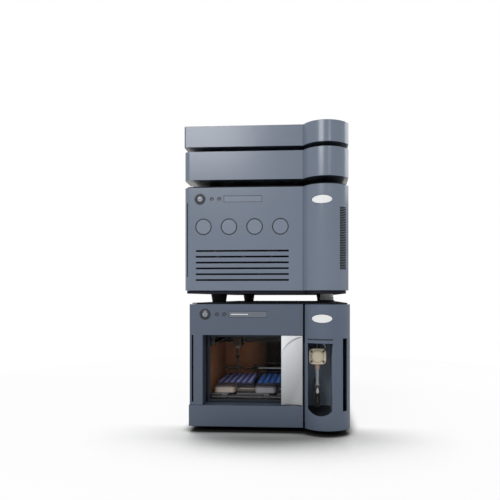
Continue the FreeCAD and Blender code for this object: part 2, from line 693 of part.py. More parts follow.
def column_core(right, radius_change, z):
    """A drum with the column's centre, a little larger or smaller, at a badge's height."""
    cx, cy, r = column_circle(right)
    return Part.makeCylinder(r + radius_change, BADGE_HALF_WIDTH * 2, V(cx, cy, z - BADGE_HALF_WIDTH))


def badge(module, right, z):
    """A blank domed oval that follows the column's round front, in a shallow seat of its own shape."""
    skin = column_core(right, BADGE_STAND, z).cut(column_core(right, -BADGE_SEAT, z))
    return oval_bar(right - BADGE_INSET[module], 0.0, z).common(skin)


def badge_seat(module, right, z):
    bar = oval_bar(right - BADGE_INSET[module], BADGE_GAP, z)
    return bar.cut(column_core(right, -BADGE_SEAT, z))


def make_sampler_front():
    over = CUT_OVER
    back = FLAT_Y + SAMPLER_COVER_DEPTH
    bottom = FOOT_HEIGHT + SHEET + RUN
    right_end = SEAM_X - FASCIA_END
    shell = cover_shell(SAMPLER_LEFT, SMALL_WING, SAMPLER_RIGHT, back, SKIRT_TOP + RUN, SAMPLER_TOP)
    flat_part = box(SAMPLER_LEFT - over, right_end, FLAT_Y - over, back + over, SKIRT_TOP, SAMPLER_TOP)
    fascia = shell.common(flat_part)
    fascia = fascia.cut(box(DOOR_LEFT, right_end + 1, FLAT_Y - over, back + over, SKIRT_TOP - 1, DOOR_TOP))
    ledge = box(DOOR_LEFT - SKIN, right_end, FLAT_Y, back, DOOR_TOP, DOOR_TOP + SKIN)
    reveal = box(DOOR_LEFT - SKIN, DOOR_LEFT, FLAT_Y, back, SKIRT_TOP + RUN, DOOR_TOP + SKIN)
    end = box(right_end - SKIN, right_end, FLAT_Y, back, DOOR_TOP, SAMPLER_TOP)
    fascia = fascia.fuse([ledge, reveal, end])
    x, half = FASCIA_SLOT_X, FASCIA_SLOT_WIDTH / 2
    slot = box(x - half, x + half, FLAT_Y - over, FLAT_Y + SKIN + 1, SKIRT_TOP + 2 * SKIN, DOOR_TOP)
    fascia = fascia.cut(control_cuts(SAMPLER_BUTTON_X, SAMPLER_CONTROL_Z, FLAT_Y) + [slot])
    hinge = rod(PIN_R + FIT, (hinge_x(), hinge_y(), DOOR_TOP - 1), (0, 0, 1), SKIN + 2)
    save("sampler_fascia", fascia.cut(hinge))

    skirt_left = SAMPLER_LEFT - SKIRT_PROUD
    front = FLAT_Y - SKIRT_PROUD
    outer = box(skirt_left, right_end, front, back, bottom, SKIRT_TOP)
    outer = round_upright(outer, skirt_left, front, SMALL_WING)
    inner = box(skirt_left + SKIN, right_end - SKIN, front + SKIN, back + 1, bottom + SKIN, SKIRT_TOP - SKIN)
    hinge = rod(PIN_R + FIT, (hinge_x(), hinge_y(), SKIRT_TOP - SKIN - 1), (0, 0, 1), SKIN + 2)
    save("sampler_skirt", outer.cut(inner).cut(hinge))


def round_upright(solid, x, y, radius):
    """Rounds the upright edge of a box at (x, y)."""
    for edge in solid.Edges:
        p = edge.CenterOfMass
        if abs(p.x - x) < 0.01 and abs(p.y - y) < 0.01:
            return solid.makeFillet(radius, [edge])
    raise ValueError("no upright edge there")


def hinge_x():
    return DOOR_LEFT + DOOR_GAP + DOOR_THICK / 2


def hinge_y():
    return FLAT_Y + DOOR_SET_BACK + DOOR_THICK / 2


def make_sampler_door():
    x0 = DOOR_LEFT + DOOR_GAP
    x1 = SEAM_X - FASCIA_END - DOOR_GAP
    z0 = SKIRT_TOP + DOOR_GAP
    z1 = DOOR_TOP - DOOR_GAP
    y0 = FLAT_Y + DOOR_SET_BACK
    y1 = y0 + DOOR_THICK
    seat_y = y1 - PANE_THICK
    open_x0 = x0 + STILE
    open_x1 = x1 - HANDLE_WIDTH
    edge = rod(DOOR_THICK / 2, (hinge_x(), hinge_y(), z0), (0, 0, 1), z1 - z0)
    frame = box(hinge_x(), x1, y0, y1, z0, z1).fuse(edge)
    frame = frame.cut(box(open_x0, open_x1, y0 - 1, y1 + 1, z0 + RAIL, z1 - RAIL))
    c = PANE_CLEAR
    pane_x0 = open_x0 - STILE_LAP
    pane_x1 = open_x1 + PANE_LAP
    pane_z0 = z0 + RAIL - PANE_LAP
    pane_z1 = z1 - RAIL + PANE_LAP
    frame = frame.cut(box(pane_x0 - c, pane_x1 + c, seat_y, y1 + 1, pane_z0 - c, pane_z1 + c))
    for z in (z0 - 1, z1 - PIN_DEPTH):
        frame = frame.cut(rod(PIN_R + FIT, (hinge_x(), hinge_y(), z), (0, 0, 1), PIN_DEPTH + 1))
    save("door_frame", frame)
    save("door_pane", box(pane_x0, pane_x1, seat_y, y1, pane_z0, pane_z1))
    save("door_handle", door_handle(x1, y0, z0, z1))


def door_handle(x1, y0, z0, z1):
    """A grip with a free left lip; its face is scooped from the foot up to a quarter-round end."""
    lip_x = x1 - HANDLE_WIDTH
    lip_y = FLAT_Y + HANDLE_LIP_BACK
    mid_x = (lip_x + x1) / 2
    root_x = x1 - HANDLE_ROOT
    deep_y = FLAT_Y + HANDLE_SCOOP
    back_y = deep_y + HANDLE_WALL
    edges = [
        line((lip_x, lip_y, z0), (x1, FLAT_Y, z0)),
        line((x1, FLAT_Y, z0), (x1, y0, z0)),
        line((x1, y0, z0), (root_x, y0, z0)),
        line((root_x, y0, z0), (root_x, back_y, z0)),
        arc((root_x, back_y, z0), (mid_x, back_y + 1, z0), (lip_x, lip_y + HANDLE_WALL, z0)),
        line((lip_x, lip_y + HANDLE_WALL, z0), (lip_x, lip_y, z0)),
    ]
    body = Part.Face(Part.Wire(edges)).extrude(V(0, 0, z1 - z0))
    low = z0 - 1
    bow = arc((lip_x, lip_y, low), (mid_x, deep_y, low), (x1, FLAT_Y, low))
    chord = line((x1, FLAT_Y, low), (lip_x, lip_y, low))
    scoop = Part.Face(Part.Wire([bow, chord])).extrude(V(0, 0, z1 - z0 + 2))
    outlines = [
        scoop_outline(lip_x - 1, x1 + 1, low - 1, z1 + SCOOP_SLOPE, FLAT_Y - 1),
        scoop_outline(lip_x - 1, x1 + 1, low - 1, z1 - SCOOP_SLOPE, deep_y + 1),
    ]
    return body.cut(scoop.common(Part.makeLoft(outlines, True, True)))


def scoop_outline(left, right, low, top, y):
    """A wire round the scooped area: straight sides, and a quarter-round from the right top to the left."""
    crest, shoulder = top - SCOOP_TOP, top - SCOOP_SHOULDER
    bend = math.sqrt(0.5)
    middle = (right - (right - left) * bend, y, shoulder + (crest - shoulder) * bend)
    edges = [
        line((left, y, low), (right, y, low)),
        line((right, y, low), (right, y, crest)),
        arc((right, y, crest), middle, (left, y, shoulder)),
        line((left, y, shoulder), (left, y, low)),
    ]
    return Part.Wire(edges)


def column_cut(x0, x1, z0, z1, depth):
    """A groove in the column's round front, of one depth all along the curve."""
    back = FLAT_Y + COLUMN_DOOR_DEPTH
    plan = cover_plan(SAMPLER_LEFT, SMALL_WING, SAMPLER_RIGHT, back, depth)
    groove = box(x0, x1, FLAT_Y - COLUMN_RISE - CUT_OVER, FLAT_Y, z0, z1)
    return groove.cut(prism(plan, z0 - 1, z1 + 1))


def recess_window(back):
    """The column door's tall opening, square above and ended by an arc below."""
    y = FLAT_Y - COLUMN_RISE - CUT_OVER
    corner = WINDOW_BOTTOM + WINDOW_RISE
    middle = (RECESS_LEFT + RECESS_RIGHT) / 2
    edges = [
        line((RECESS_LEFT, y, WINDOW_TOP), (RECESS_LEFT, y, corner)),
        arc((RECESS_LEFT, y, corner), (middle, y, WINDOW_BOTTOM), (RECESS_RIGHT, y, corner)),
        line((RECESS_RIGHT, y, corner), (RECESS_RIGHT, y, WINDOW_TOP)),
        line((RECESS_RIGHT, y, WINDOW_TOP), (RECESS_LEFT, y, WINDOW_TOP)),
    ]
    return Part.Face(Part.Wire(edges)).extrude(V(0, back + 1 - y, 0))


def make_column_door():
    back = FLAT_Y + COLUMN_DOOR_DEPTH
    bottom = FOOT_HEIGHT + SHEET + RUN
    left = SEAM_X + COLUMN_GAP
    over = CUT_OVER
    shell = cover_shell(SAMPLER_LEFT, SMALL_WING, SAMPLER_RIGHT, back, bottom, SAMPLER_TOP)
    front = FLAT_Y - COLUMN_RISE - over
    door = shell.common(box(left, SAMPLER_RIGHT + over, front, back + 1, bottom - 1, SAMPLER_TOP + 1))
    slot = box(FINGER_SLOT_LEFT, FINGER_SLOT_RIGHT, front, FLAT_Y, FINGER_SLOT_BOTTOM, RECESS_TOP)
    lintel = WINDOW_TOP + LINTEL_RISE
    groove = column_cut(RECESS_LEFT, RECESS_RIGHT, lintel, lintel + LINTEL_LINE, LINTEL_DEEP)
    seat = badge_seat("sampler", SAMPLER_RIGHT, SAMPLER_BADGE_Z)
    door = door.cut([recess_window(back), slot, groove, seat])
    hinge = rod(PIN_R + FIT, (COLUMN_HINGE_X, COLUMN_HINGE_Y, 0), (0, 0, 1), SAMPLER_TOP + over)
    bosses = []
    for z in (bottom, SAMPLER_TOP - HINGE_BOSS_HEIGHT):
        bosses.append(rod(HINGE_BOSS_R, (COLUMN_HINGE_X, COLUMN_HINGE_Y, z), (0, 0, 1), HINGE_BOSS_HEIGHT))
    save("column_door", door.fuse(bosses).cut(hinge))
    save("sampler_badge", badge("sampler", SAMPLER_RIGHT, SAMPLER_BADGE_Z))


def upright_pin(x, y, z0, z1):
    return rod(PIN_R, (x, y, z0), (0, 0, 1), z1 - z0)


def make_hinge_pins():
    """Round pins on which the sampler door, the column door and the pump door turn."""
    z0 = SKIRT_TOP + DOOR_GAP
    z1 = DOOR_TOP - DOOR_GAP
    reach = PIN_DEPTH - 2
    frame_floor = PUMP_BOTTOM - PAN_DROP + SHEET
    boss = HINGE_BOSS_HEIGHT
    pins = [
        upright_pin(hinge_x(), hinge_y(), SKIRT_TOP - SKIN, z0 + reach),
        upright_pin(hinge_x(), hinge_y(), z1 - reach, DOOR_TOP + SKIN),
        upright_pin(COLUMN_HINGE_X, COLUMN_HINGE_Y, FOOT_HEIGHT + SHEET, FOOT_HEIGHT + SHEET + RUN + boss),
        upright_pin(COLUMN_HINGE_X, COLUMN_HINGE_Y, SAMPLER_TOP - boss, SAMPLER_TOP + LID_RISE),
        upright_pin(PUMP_HINGE_X, PUMP_HINGE_Y, frame_floor, PUMP_BOTTOM + SKIN),
        upright_pin(PUMP_HINGE_X, PUMP_HINGE_Y, PUMP_TOP - SKIN, PUMP_TOP + LID_RISE),
    ]
    save_group("hinge_pins", pins)


# Sample chamber


def make_chamber():
    wall = SKIN
    x0, x1 = CHAMBER_LEFT, CHAMBER_RIGHT
    low, high = CHAMBER_FLOOR - wall, CHAMBER_CEILING + wall
    outer = box(x0 - wall, x1 + wall, CHAMBER_FRONT, CHAMBER_BACK + wall, low, high)
    inner = box(x0, x1, CHAMBER_FRONT - 1, CHAMBER_BACK, CHAMBER_FLOOR, CHAMBER_CEILING)
    legs = []
    for y in (CHAMBER_FRONT + LINER_LEG_INSET, CHAMBER_BACK - LINER_LEG_INSET):
        legs.append(box(x0, x1, y, y + wall, FOOT_HEIGHT + SHEET, low))
    save("chamber_liner", outer.cut(inner).fuse(legs))

    top = SHELF_TOP
    gap = SHELF_SIDE_GAP
    shelf_front = PLATE_FRONT - GRIP_DEPTH - SHELF_LEAD
    shelf = box(x0 + gap, x1 - gap, shelf_front, CHAMBER_BACK - SHELF_BACK_GAP, CHAMBER_FLOOR, top)
    groove_half = KEEL_WIDTH / 2 + KEEL_CLEAR
    groove_end = PLATE_FRONT + PLATE_LENGTH + 2 * CARRIER_MARGIN
    groove_z = top - KEEL_HEIGHT - KEEL_CLEAR
    for x in PLATE_XS:
        left, right = x - groove_half, x + groove_half
        shelf = shelf.cut(box(left, right, shelf_front - 1, groove_end, groove_z, top + 1))
    z = CHAMBER_FLOOR + SHELF_THICK / 2
    latches = []
    for x in LATCH_XS:
        shelf = shelf.cut(rod(LATCH_STEM_R, (x, shelf_front - 1, z), (0, 1, 0), LATCH_DEEP + 1))
        head = rod(LATCH_R, (x, shelf_front - LATCH_STAND, z), (0, 1, 0), LATCH_STAND)
        latches.append(head.fuse(rod(LATCH_STEM_R - FIT, (x, shelf_front - 1, z), (0, 1, 0), LATCH_DEEP)))
    save("carrier_shelf", shelf)
    save_group("shelf_latches", latches)
    save("wash_station", wash_station())

    for name, x in zip(("left", "right"), PLATE_XS):
        save("carrier_" + name, carrier(x, top))
        save("plate_" + name, sample_plate(x, top + RUN + CARRIER_THICK))


def wash_station():
    """Two upright wash ports on a low block behind the left plate."""
    wide, deep, tall = WASH_BLOCK
    left, front = WASH_X - wide / 2, WASH_Y - deep / 2
    block = box(left, left + wide, front, front + deep, SHELF_TOP, SHELF_TOP + tall)
    posts = []
    bores = []
    for x in (WASH_X - WASH_PITCH / 2, WASH_X + WASH_PITCH / 2):
        posts.append(rod(WASH_POST_R, (x, WASH_Y, SHELF_TOP), (0, 0, 1), WASH_HEIGHT))
        bores.append(rod(WASH_BORE_R, (x, WASH_Y, SHELF_TOP + tall), (0, 0, 1), WASH_HEIGHT))
    return block.fuse(posts).cut(bores)


def carrier(x, shelf_top):
    """A sliding carrier: tray plate with a keel below, low side rims and a rounded grip in front."""
    z0 = shelf_top + RUN
    half = PLATE_WIDTH / 2 + CARRIER_MARGIN
    back = PLATE_FRONT + PLATE_LENGTH + CARRIER_MARGIN
    plate = box(x - half, x + half, PLATE_FRONT - CARRIER_MARGIN, back, z0, z0 + CARRIER_THICK)
    keel_half = KEEL_WIDTH / 2
    keel = box(x - keel_half, x + keel_half, PLATE_FRONT - CARRIER_MARGIN, back, z0 - KEEL_HEIGHT, z0)
    gx = x + GRIP_SHIFT
    front = PLATE_FRONT - CARRIER_MARGIN - GRIP_DEPTH + 1
    reach = GRIP_WIDTH / 2
    grip = box(gx - reach, gx + reach, front, PLATE_FRONT - CARRIER_MARGIN, z0, z0 + GRIP_HEIGHT)
    fronts = [e for e in grip.Edges if abs(e.CenterOfMass.y - front) < 0.01 and e.Length < GRIP_HEIGHT + 1]
    grip = grip.makeFillet(GRIP_CORNER_R, fronts)
    tops = [
        e for e in grip.Edges
        if abs(e.CenterOfMass.z - z0 - GRIP_HEIGHT) < 0.01
        and e.CenterOfMass.y < PLATE_FRONT - CARRIER_MARGIN - 1
    ]
    grip = grip.makeFillet(GRIP_EDGE_R, tops)
    return plate.fuse([keel, grip])


def sample_plate(x, z0):
    """A sample plate: a stepped skirt under a block with a grid of square wells."""
    half = PLATE_WIDTH / 2
    y0 = PLATE_FRONT
    y1 = PLATE_FRONT + PLATE_LENGTH
    skirt = box(x - half, x + half, y0, y1, z0, z0 + PLATE_SKIRT)
    inset = PLATE_STEP
    block = box(x - half + inset, x + half - inset, y0 + inset, y1 - inset, z0, z0 + PLATE_HEIGHT)
    wells = []
    first_x = x - (WELL_COLUMNS - 1) / 2 * WELL_PITCH
    first_y = (y0 + y1) / 2 - (WELL_ROWS - 1) / 2 * WELL_PITCH
    reach = WELL_SIZE / 2
    top = z0 + PLATE_HEIGHT
    for i in range(WELL_COLUMNS):
        for j in range(WELL_ROWS):
            wx = first_x + i * WELL_PITCH
            wy = first_y + j * WELL_PITCH
            wells.append(box(wx - reach, wx + reach, wy - reach, wy + reach, top - WELL_DEPTH, top + 1))
    return skirt.fuse(block).cut(wells)


def make_needle_drive():
    x_left = CHAMBER_LEFT + ROD_INSET
    x_right = CHAMBER_RIGHT - ROD_INSET
    front = CHAMBER_FRONT + HANGER_SET_BACK
    rods = []
    for x in (x_left, x_right):
        bar = rod(ROD_R, (x, front, ROD_Z), (0, 1, 0), CHAMBER_BACK - front)
        hanger = box(
            x - HANGER_HALF, x + HANGER_HALF, front, front + HANGER_THICK,
            ROD_Z - HANGER_HALF - 1, CHAMBER_CEILING,
        )
        rods.append(bar.fuse(hanger))
    stop_y = CHAMBER_BACK - STOP_BAR_INSET
    rods.append(rod(STOP_BAR_R, (CHAMBER_LEFT, stop_y, STOP_BAR_Z), (1, 0, 0), CHAMBER_RIGHT - CHAMBER_LEFT))
    save_group("guide_rods", rods)

    z0 = ROD_Z - BEAM_HEIGHT / 2
    z1 = ROD_Z + BEAM_HEIGHT / 2
    y1 = BEAM_Y + BEAM_DEPTH
    beam = box(CHAMBER_LEFT + BEAM_END_GAP, CHAMBER_RIGHT - BEAM_END_GAP, BEAM_Y, y1, z0, z1)
    for x in (x_left, x_right):
        beam = beam.cut(rod(ROD_R + FIT, (x, BEAM_Y - 1, ROD_Z), (0, 1, 0), BEAM_DEPTH + 2))
    save("gantry_beam", beam)

    c = SLIDE_CLEAR
    h = BAR_WIDTH / 2
    half = CARRIAGE_WIDTH / 2
    low, high = CARRIAGE_BOTTOM, CARRIAGE_TOP
    front = NEEDLE_Y - h - CARRIAGE_WALL
    block = box(NEEDLE_X - half, NEEDLE_X + half, front, y1 + CARRIAGE_WALL, low, high)
    block = block.cut(box(NEEDLE_X - half - 1, NEEDLE_X + half + 1, BEAM_Y - c, y1 + c, z0 - c, z1 + c))
    hc = h + c
    bore = box(NEEDLE_X - hc, NEEDLE_X + hc, NEEDLE_Y - hc, NEEDLE_Y + hc, low - 1, high + 1)
    pulley = rod(PULLEY_R, (NEEDLE_X, front - PULLEY_THICK, ROD_Z), (0, 1, 0), PULLEY_THICK)
    save("needle_carriage", block.cut(bore).fuse(pulley))

    base = BAR_BOTTOM
    bar = box(NEEDLE_X - h, NEEDLE_X + h, NEEDLE_Y - h, NEEDLE_Y + h, base, BAR_TOP)
    hub = Part.makeCone(NEEDLE_HUB_R, h, NEEDLE_HUB, V(NEEDLE_X, NEEDLE_Y, base - NEEDLE_HUB))
    reach = CLAMP_HALF
    clamp = box(NEEDLE_X - reach, NEEDLE_X + reach, NEEDLE_Y - h, NEEDLE_Y + h, base, base + CLAMP_HEIGHT)
    ball = Part.makeSphere(BALL_R, V(NEEDLE_X, NEEDLE_Y, base + BALL_RISE))
    tip = rod(NEEDLE_R, (NEEDLE_X, NEEDLE_Y, NEEDLE_TIP_Z), (0, 0, 1), NEEDLE_LENGTH)
    save("needle", bar.fuse([hub, clamp, ball, tip]))


# Syringe recess


def bay_slice(back, inset, x0, x1, z0, z1):
    """A block behind the column's round front, set in from it, between the given sides and heights."""
    plan = cover_plan(SAMPLER_LEFT, SMALL_WING, SAMPLER_RIGHT, back, inset)
    return prism(plan, z0, z1).common(box(x0, x1, FLAT_Y - COLUMN_RISE - CUT_OVER, back, z0, z1))


def make_bay():
    """The recess behind the column door's tall opening, and its floor cup."""
    w = RECESS_WALL
    front = FLAT_Y - COLUMN_RISE - CUT_OVER
    left, right = RECESS_LEFT - w, RECESS_RIGHT + w
    low, high = RECESS_FLOOR - w, RECESS_TOP + w
    inset = SKIN + SLEEVE_SET_BACK
    sleeve = bay_slice(RECESS_BACK + w, inset, left, right, low, high)
    sleeve = sleeve.cut(box(RECESS_LEFT, RECESS_RIGHT, front, RECESS_BACK, RECESS_FLOOR, RECESS_TOP))
    pan_top = FOOT_HEIGHT + SHEET
    cheek_x = SEAM_X + COLUMN_GAP
    top = SAMPLER_TOP - SKIN - RUN
    back = box(cheek_x, SAMPLER_CASE_RIGHT - SHEET, RECESS_BACK, RECESS_BACK + w, pan_top, top)
    cheek_y = FLAT_Y + COLUMN_DOOR_DEPTH + COLUMN_DOOR_SWING
    cheek = box(cheek_x, cheek_x + w, cheek_y, RECESS_BACK, pan_top, top)
    flange_y = CHAMBER_FRONT
    flange = box(cheek_x - SEAM_FLANGE, cheek_x, flange_y, flange_y + w, pan_top, top)
    save("fluidics_panel", sleeve.fuse([back, cheek, flange]))

    g = CUP_GAP
    low = RECESS_FLOOR
    rim = low + CUP_HEIGHT
    cup = bay_slice(RECESS_BACK - g, inset + g, RECESS_LEFT + g, RECESS_RIGHT - g, low, rim)
    t = g + CUP_WALL
    floor = low + CUP_FLOOR
    hollow = bay_slice(RECESS_BACK - t, inset + t, RECESS_LEFT + t, RECESS_RIGHT - t, floor, rim + 1)
    save("drip_cup", cup.cut(hollow))


def valve_plate(y0, y1):
    """The valve head's outline: a rounded square, along Y."""
    reach, rise = VALVE_WIDTH / 2, VALVE_HEIGHT / 2
    plate = box(VALVE_X - reach, VALVE_X + reach, y0, y1, VALVE_Z - rise, VALVE_Z + rise)
    edges = []
    for edge in plate.Edges:
        span = edge.BoundBox
        if span.YLength > y1 - y0 - 1 and span.XLength < 1 and span.ZLength < 1:
            edges.append(edge)
    return plate.makeFillet(VALVE_CORNER_R, edges)


def make_valve():
    y0 = VALVE_FRONT + VALVE_DISC_RISE
    y1 = VALVE_FRONT + VALVE_THICK
    plate = valve_plate(y0, y1)
    disc = rod(VALVE_DISC_R, (VALVE_X, VALVE_FRONT, VALVE_Z), (0, 1, 0), VALVE_THICK)
    neck = rod(VALVE_NECK_R, (VALVE_X, y1, VALVE_Z), (0, 1, 0), RECESS_BACK - y1)
    holes = [rod(SCREW_R, p, (0, 1, 0), SCREW_LENGTH + 2) for p in valve_screw_places(y0 - 1)]
    outlet = rod(COLLAR_NECK_R + 0.1, (VALVE_X, SYRINGE_Y, VALVE_BOTTOM - 1), (0, 0, 1), COLLAR_NECK + 2)
    save("valve_body", plate.fuse([disc, neck]).cut(holes + [outlet]))
    screws = []
    for x, y, z in valve_screw_places(y0 - SCREW_HEAD):
        head = rod(SCREW_HEAD_R, (x, y, z), (0, 1, 0), SCREW_HEAD)
        head = head.cut(rod(SCREW_SOCKET_R, (x, y - 1, z), (0, 1, 0), SCREW_HEAD))
        screws.append(head.fuse(rod(SCREW_R - FIT, (x, y + SCREW_HEAD, z), (0, 1, 0), SCREW_LENGTH)))
    save_group("valve_screws", screws)


def make_syringe():
    x, y = VALVE_X, SYRINGE_Y
    collar_top = VALVE_BOTTOM - COLLAR_GAP
    neck = rod(COLLAR_NECK_R, (x, y, collar_top), (0, 0, 1), COLLAR_NECK)
    collar = rod(COLLAR_R, (x, y, BARREL_TOP), (0, 0, 1), collar_top - BARREL_TOP)
    save("syringe_collar", collar.fuse(neck))
    height = BARREL_TOP - BARREL_BOTTOM
    glass = rod(BARREL_R, (x, y, BARREL_BOTTOM), (0, 0, 1), height)
    glass = glass.fuse(rod(BARREL_R + BARREL_FLANGE, (x, y, BARREL_BOTTOM), (0, 0, 1), BARREL_FLANGE_HEIGHT))
    glass = glass.cut(rod(BARREL_BORE + FIT, (x, y, BARREL_BOTTOM - 1), (0, 0, 1), height - SKIN))
    save("syringe_barrel", glass)

    head = rod(BARREL_BORE, (x, y, PLUNGER_HEAD_Z), (0, 0, 1), PLUNGER_HEAD)
    stem = rod(STEM_R, (x, y, KNOB_Z), (0, 0, 1), PLUNGER_HEAD_Z - KNOB_Z)
    tip = Part.makeCone(TIP_R, TIP_END_R, TIP_HEIGHT, V(x, y, TIP_Z))
    knob = rod(KNOB_R, (x, y, KNOB_Z), (0, 0, 1), KNOB_HEIGHT)
    arm_z = KNOB_Z + ARM_RISE
    arm = box(x - ARM_HALF, x + ARM_HALF, y, SLIDER_BACK, arm_z, arm_z + ARM_HEIGHT)
    save("syringe_plunger", head.fuse([stem, tip, knob, arm]))

    rail_front = SLIDER_BACK - RAIL_THICK
    rail_z = KNOB_Z - RAIL_DROP
    rail_top = BARREL_BOTTOM + TRACK_END
    rail = box(x - RAIL_HALF, x + RAIL_HALF, rail_front, RECESS_BACK, rail_z, rail_top)
    half = ARM_HALF + SLIDE_CLEAR
    track_top = BARREL_BOTTOM - CLAMP_THICK - 1
    track = box(x - half, x + half, rail_front - 1, SLIDER_BACK + SLIDE_CLEAR, rail_z + TRACK_END, track_top)
    clamp_z = BARREL_BOTTOM - CLAMP_THICK
    clamp = box(x - RAIL_HALF, x + RAIL_HALF, y - RAIL_HALF, rail_front, clamp_z, BARREL_BOTTOM)
    bore = rod(CLAMP_BORE_R, (x, y, BARREL_BOTTOM - CLAMP_THICK - 1), (0, 0, 1), CLAMP_THICK + 2)
    save("syringe_bracket", rail.fuse(clamp.cut(bore)).cut(track))


def make_fluidics():
    make_valve()
    make_syringe()
    body = valve_plate(VALVE_FRONT - 1, VALVE_FRONT + VALVE_THICK + 1)
    x, y, z = LOOP_START
    nut = rod(TOP_NUT_R, (VALVE_X - 1, SYRINGE_Y - 4, VALVE_Z + VALVE_HEIGHT / 2), (0, 0, 1), TOP_NUT_HEIGHT)
    side_nut = rod(SIDE_NUT_R, (x, y, z - SIDE_NUT_HEIGHT - 1), (0, 0, 1), SIDE_NUT_HEIGHT)
    save_group("tube_nuts", [nut, side_nut.cut(body)])

    bend, run = LOOP_BEND, LOOP_RUN
    part = math.sqrt(0.5)
    crest_z = z + LOOP_RISE + bend
    start = (x, y, z - 1)
    rise = (x, y, z + LOOP_RISE)
    middle = (x - bend * (1 - part), y, z + LOOP_RISE + bend * part)
    crest = (x - bend, y, crest_z)
    end = (crest[0] - run, y, crest_z)
    turn_mid = (end[0] - run * part, y, crest_z + run * (1 - part))
    up = (end[0] - run, y, crest_z + run)
    roof = (up[0], y, RECESS_TOP)
    edges = [
        line(start, rise),
        arc(rise, middle, crest),
        line(crest, end),
        arc(end, turn_mid, up),
        line(up, roof),
    ]
    save("loop_tube", tube(edges, LOOP_R, start, (0, 0, 1)))


def valve_screw_places(y):
    places = []
    for side in (-1, 1):
        for up in (-1, 1):
            places.append((VALVE_X + side * SCREW_ACROSS / 2, y, VALVE_Z + up * SCREW_UP / 2))
    return places


# Pump module


def make_pump_door():
    back = FLAT_Y + PUMP_DOOR_DEPTH
    inside = FLAT_Y + SKIN + 1
    before = FLAT_Y - COLUMN_RISE - CUT_OVER
    door = cover_shell(UPPER_LEFT, UPPER_WING, UPPER_RIGHT, back, PUMP_BOTTOM, PUMP_TOP)
    cuts = control_cuts(PUMP_BUTTON_X, PUMP_CONTROL_Z, FLAT_Y)
    caps = []
    for i in range(CAP_COUNT):
        x = CAP_FIRST_X + i * CAP_PITCH
        cuts.append(rod(CAP_R + CAP_GAP, (x, FLAT_Y - 1, CAP_Z), (0, 1, 0), SKIN + 2))
        disc = rod(CAP_R, (x, FLAT_Y + CONTROL_GAP, CAP_Z), (0, 1, 0), SKIN)
        lip = rod(CAP_R + CAP_GAP + CAP_LIP, (x, FLAT_Y + SKIN, CAP_Z), (0, 1, 0), CAP_BACK)
        caps.append(disc.fuse(lip))
    half = LOUVRE_HEIGHT / 2
    for i in range(LOUVRE_COUNT):
        z = LOUVRE_LOWEST_Z + i * LOUVRE_PITCH
        cuts.append(box(LOUVRE_LEFT, LOUVRE_RIGHT, before, inside, z - half, z + half))
    for i in range(COMB_COUNT):
        z = COMB_BOTTOM + i * COMB_PITCH
        cuts.append(box(COMB_LEFT, COMB_RIGHT, before, FLAT_Y, z, z + COMB_SLOT))
    left = WING_SLOT_X - WING_SLOT_WIDTH / 2
    right = left + WING_SLOT_WIDTH
    wing_back = FLAT_Y + UPPER_WING - 1
    cuts.append(box(left, right, before, wing_back, WING_SLOT_BOTTOM, WING_SLOT_TOP))
    cuts.append(badge_seat("pump", UPPER_RIGHT, PUMP_BADGE_Z))
    pin_hole = rod(PIN_R + FIT, (PUMP_HINGE_X, PUMP_HINGE_Y, PUMP_BOTTOM - 1), (0, 0, 1), PUMP_HEIGHT + 2)
    save("pump_door", door.cut(cuts + [pin_hole]))
    save("pump_badge", badge("pump", UPPER_RIGHT, PUMP_BADGE_Z))
    save_group("port_caps", caps)


def make_pumps():
    """The bulkhead behind the pump door, and two pairs of pump heads with their check valves."""
    x0 = UPPER_CASE_LEFT + SHEET
    x1 = UPPER_CASE_RIGHT - SHEET
    z0 = PUMP_BOTTOM - RUN
    save("pump_bulkhead", box(x0, x1, BULKHEAD_Y, BULKHEAD_Y + SHEET, z0, PUMP_TOP - SKIN))
    front = BULKHEAD_Y - HEAD_LENGTH
    valve_y = front + HEAD_FLANGE / 2
    heads = []
    for pair_x in HEAD_XS:
        for x in (pair_x - HEAD_PAIR_PITCH / 2, pair_x + HEAD_PAIR_PITCH / 2):
            barrel = rod(HEAD_BARREL_R, (x, front + 1, HEAD_Z), (0, 1, 0), HEAD_LENGTH - 1)
            flange = rod(HEAD_R, (x, front, HEAD_Z), (0, 1, 0), HEAD_FLANGE)
            top = rod(CHECK_VALVE_R, (x, valve_y, HEAD_Z + HEAD_R - 1), (0, 0, 1), CHECK_VALVE_LENGTH)
            low = rod(CHECK_VALVE_R, (x, valve_y, HEAD_Z - HEAD_R + 1), (0, 0, -1), CHECK_VALVE_LENGTH)
            heads.append(barrel.fuse([flange, top, low]))
    save_group("pump_heads", heads)


# Heater, tray and feet


def make_heater():
    back = FLAT_Y + HEATER_COVER_DEPTH
    save("heater_front", cover_shell(UPPER_LEFT, UPPER_WING, UPPER_RIGHT, back, HEATER_BOTTOM, HEATER_TOP))
    x0, x1 = UPPER_CASE_LEFT, UPPER_CASE_RIGHT
    w = SHEET
    outer = box(x0, x1, back, REAR_Y, HEATER_BOTTOM, HEATER_TOP - w)
    inner = box(x0 + w, x1 - w, back + w, REAR_Y - w, HEATER_BOTTOM + w, HEATER_TOP)
    save("heater_pan", outer.cut(inner))
    save("heater_lid", box(x0, x1, back, REAR_Y, HEATER_TOP - w, HEATER_TOP))


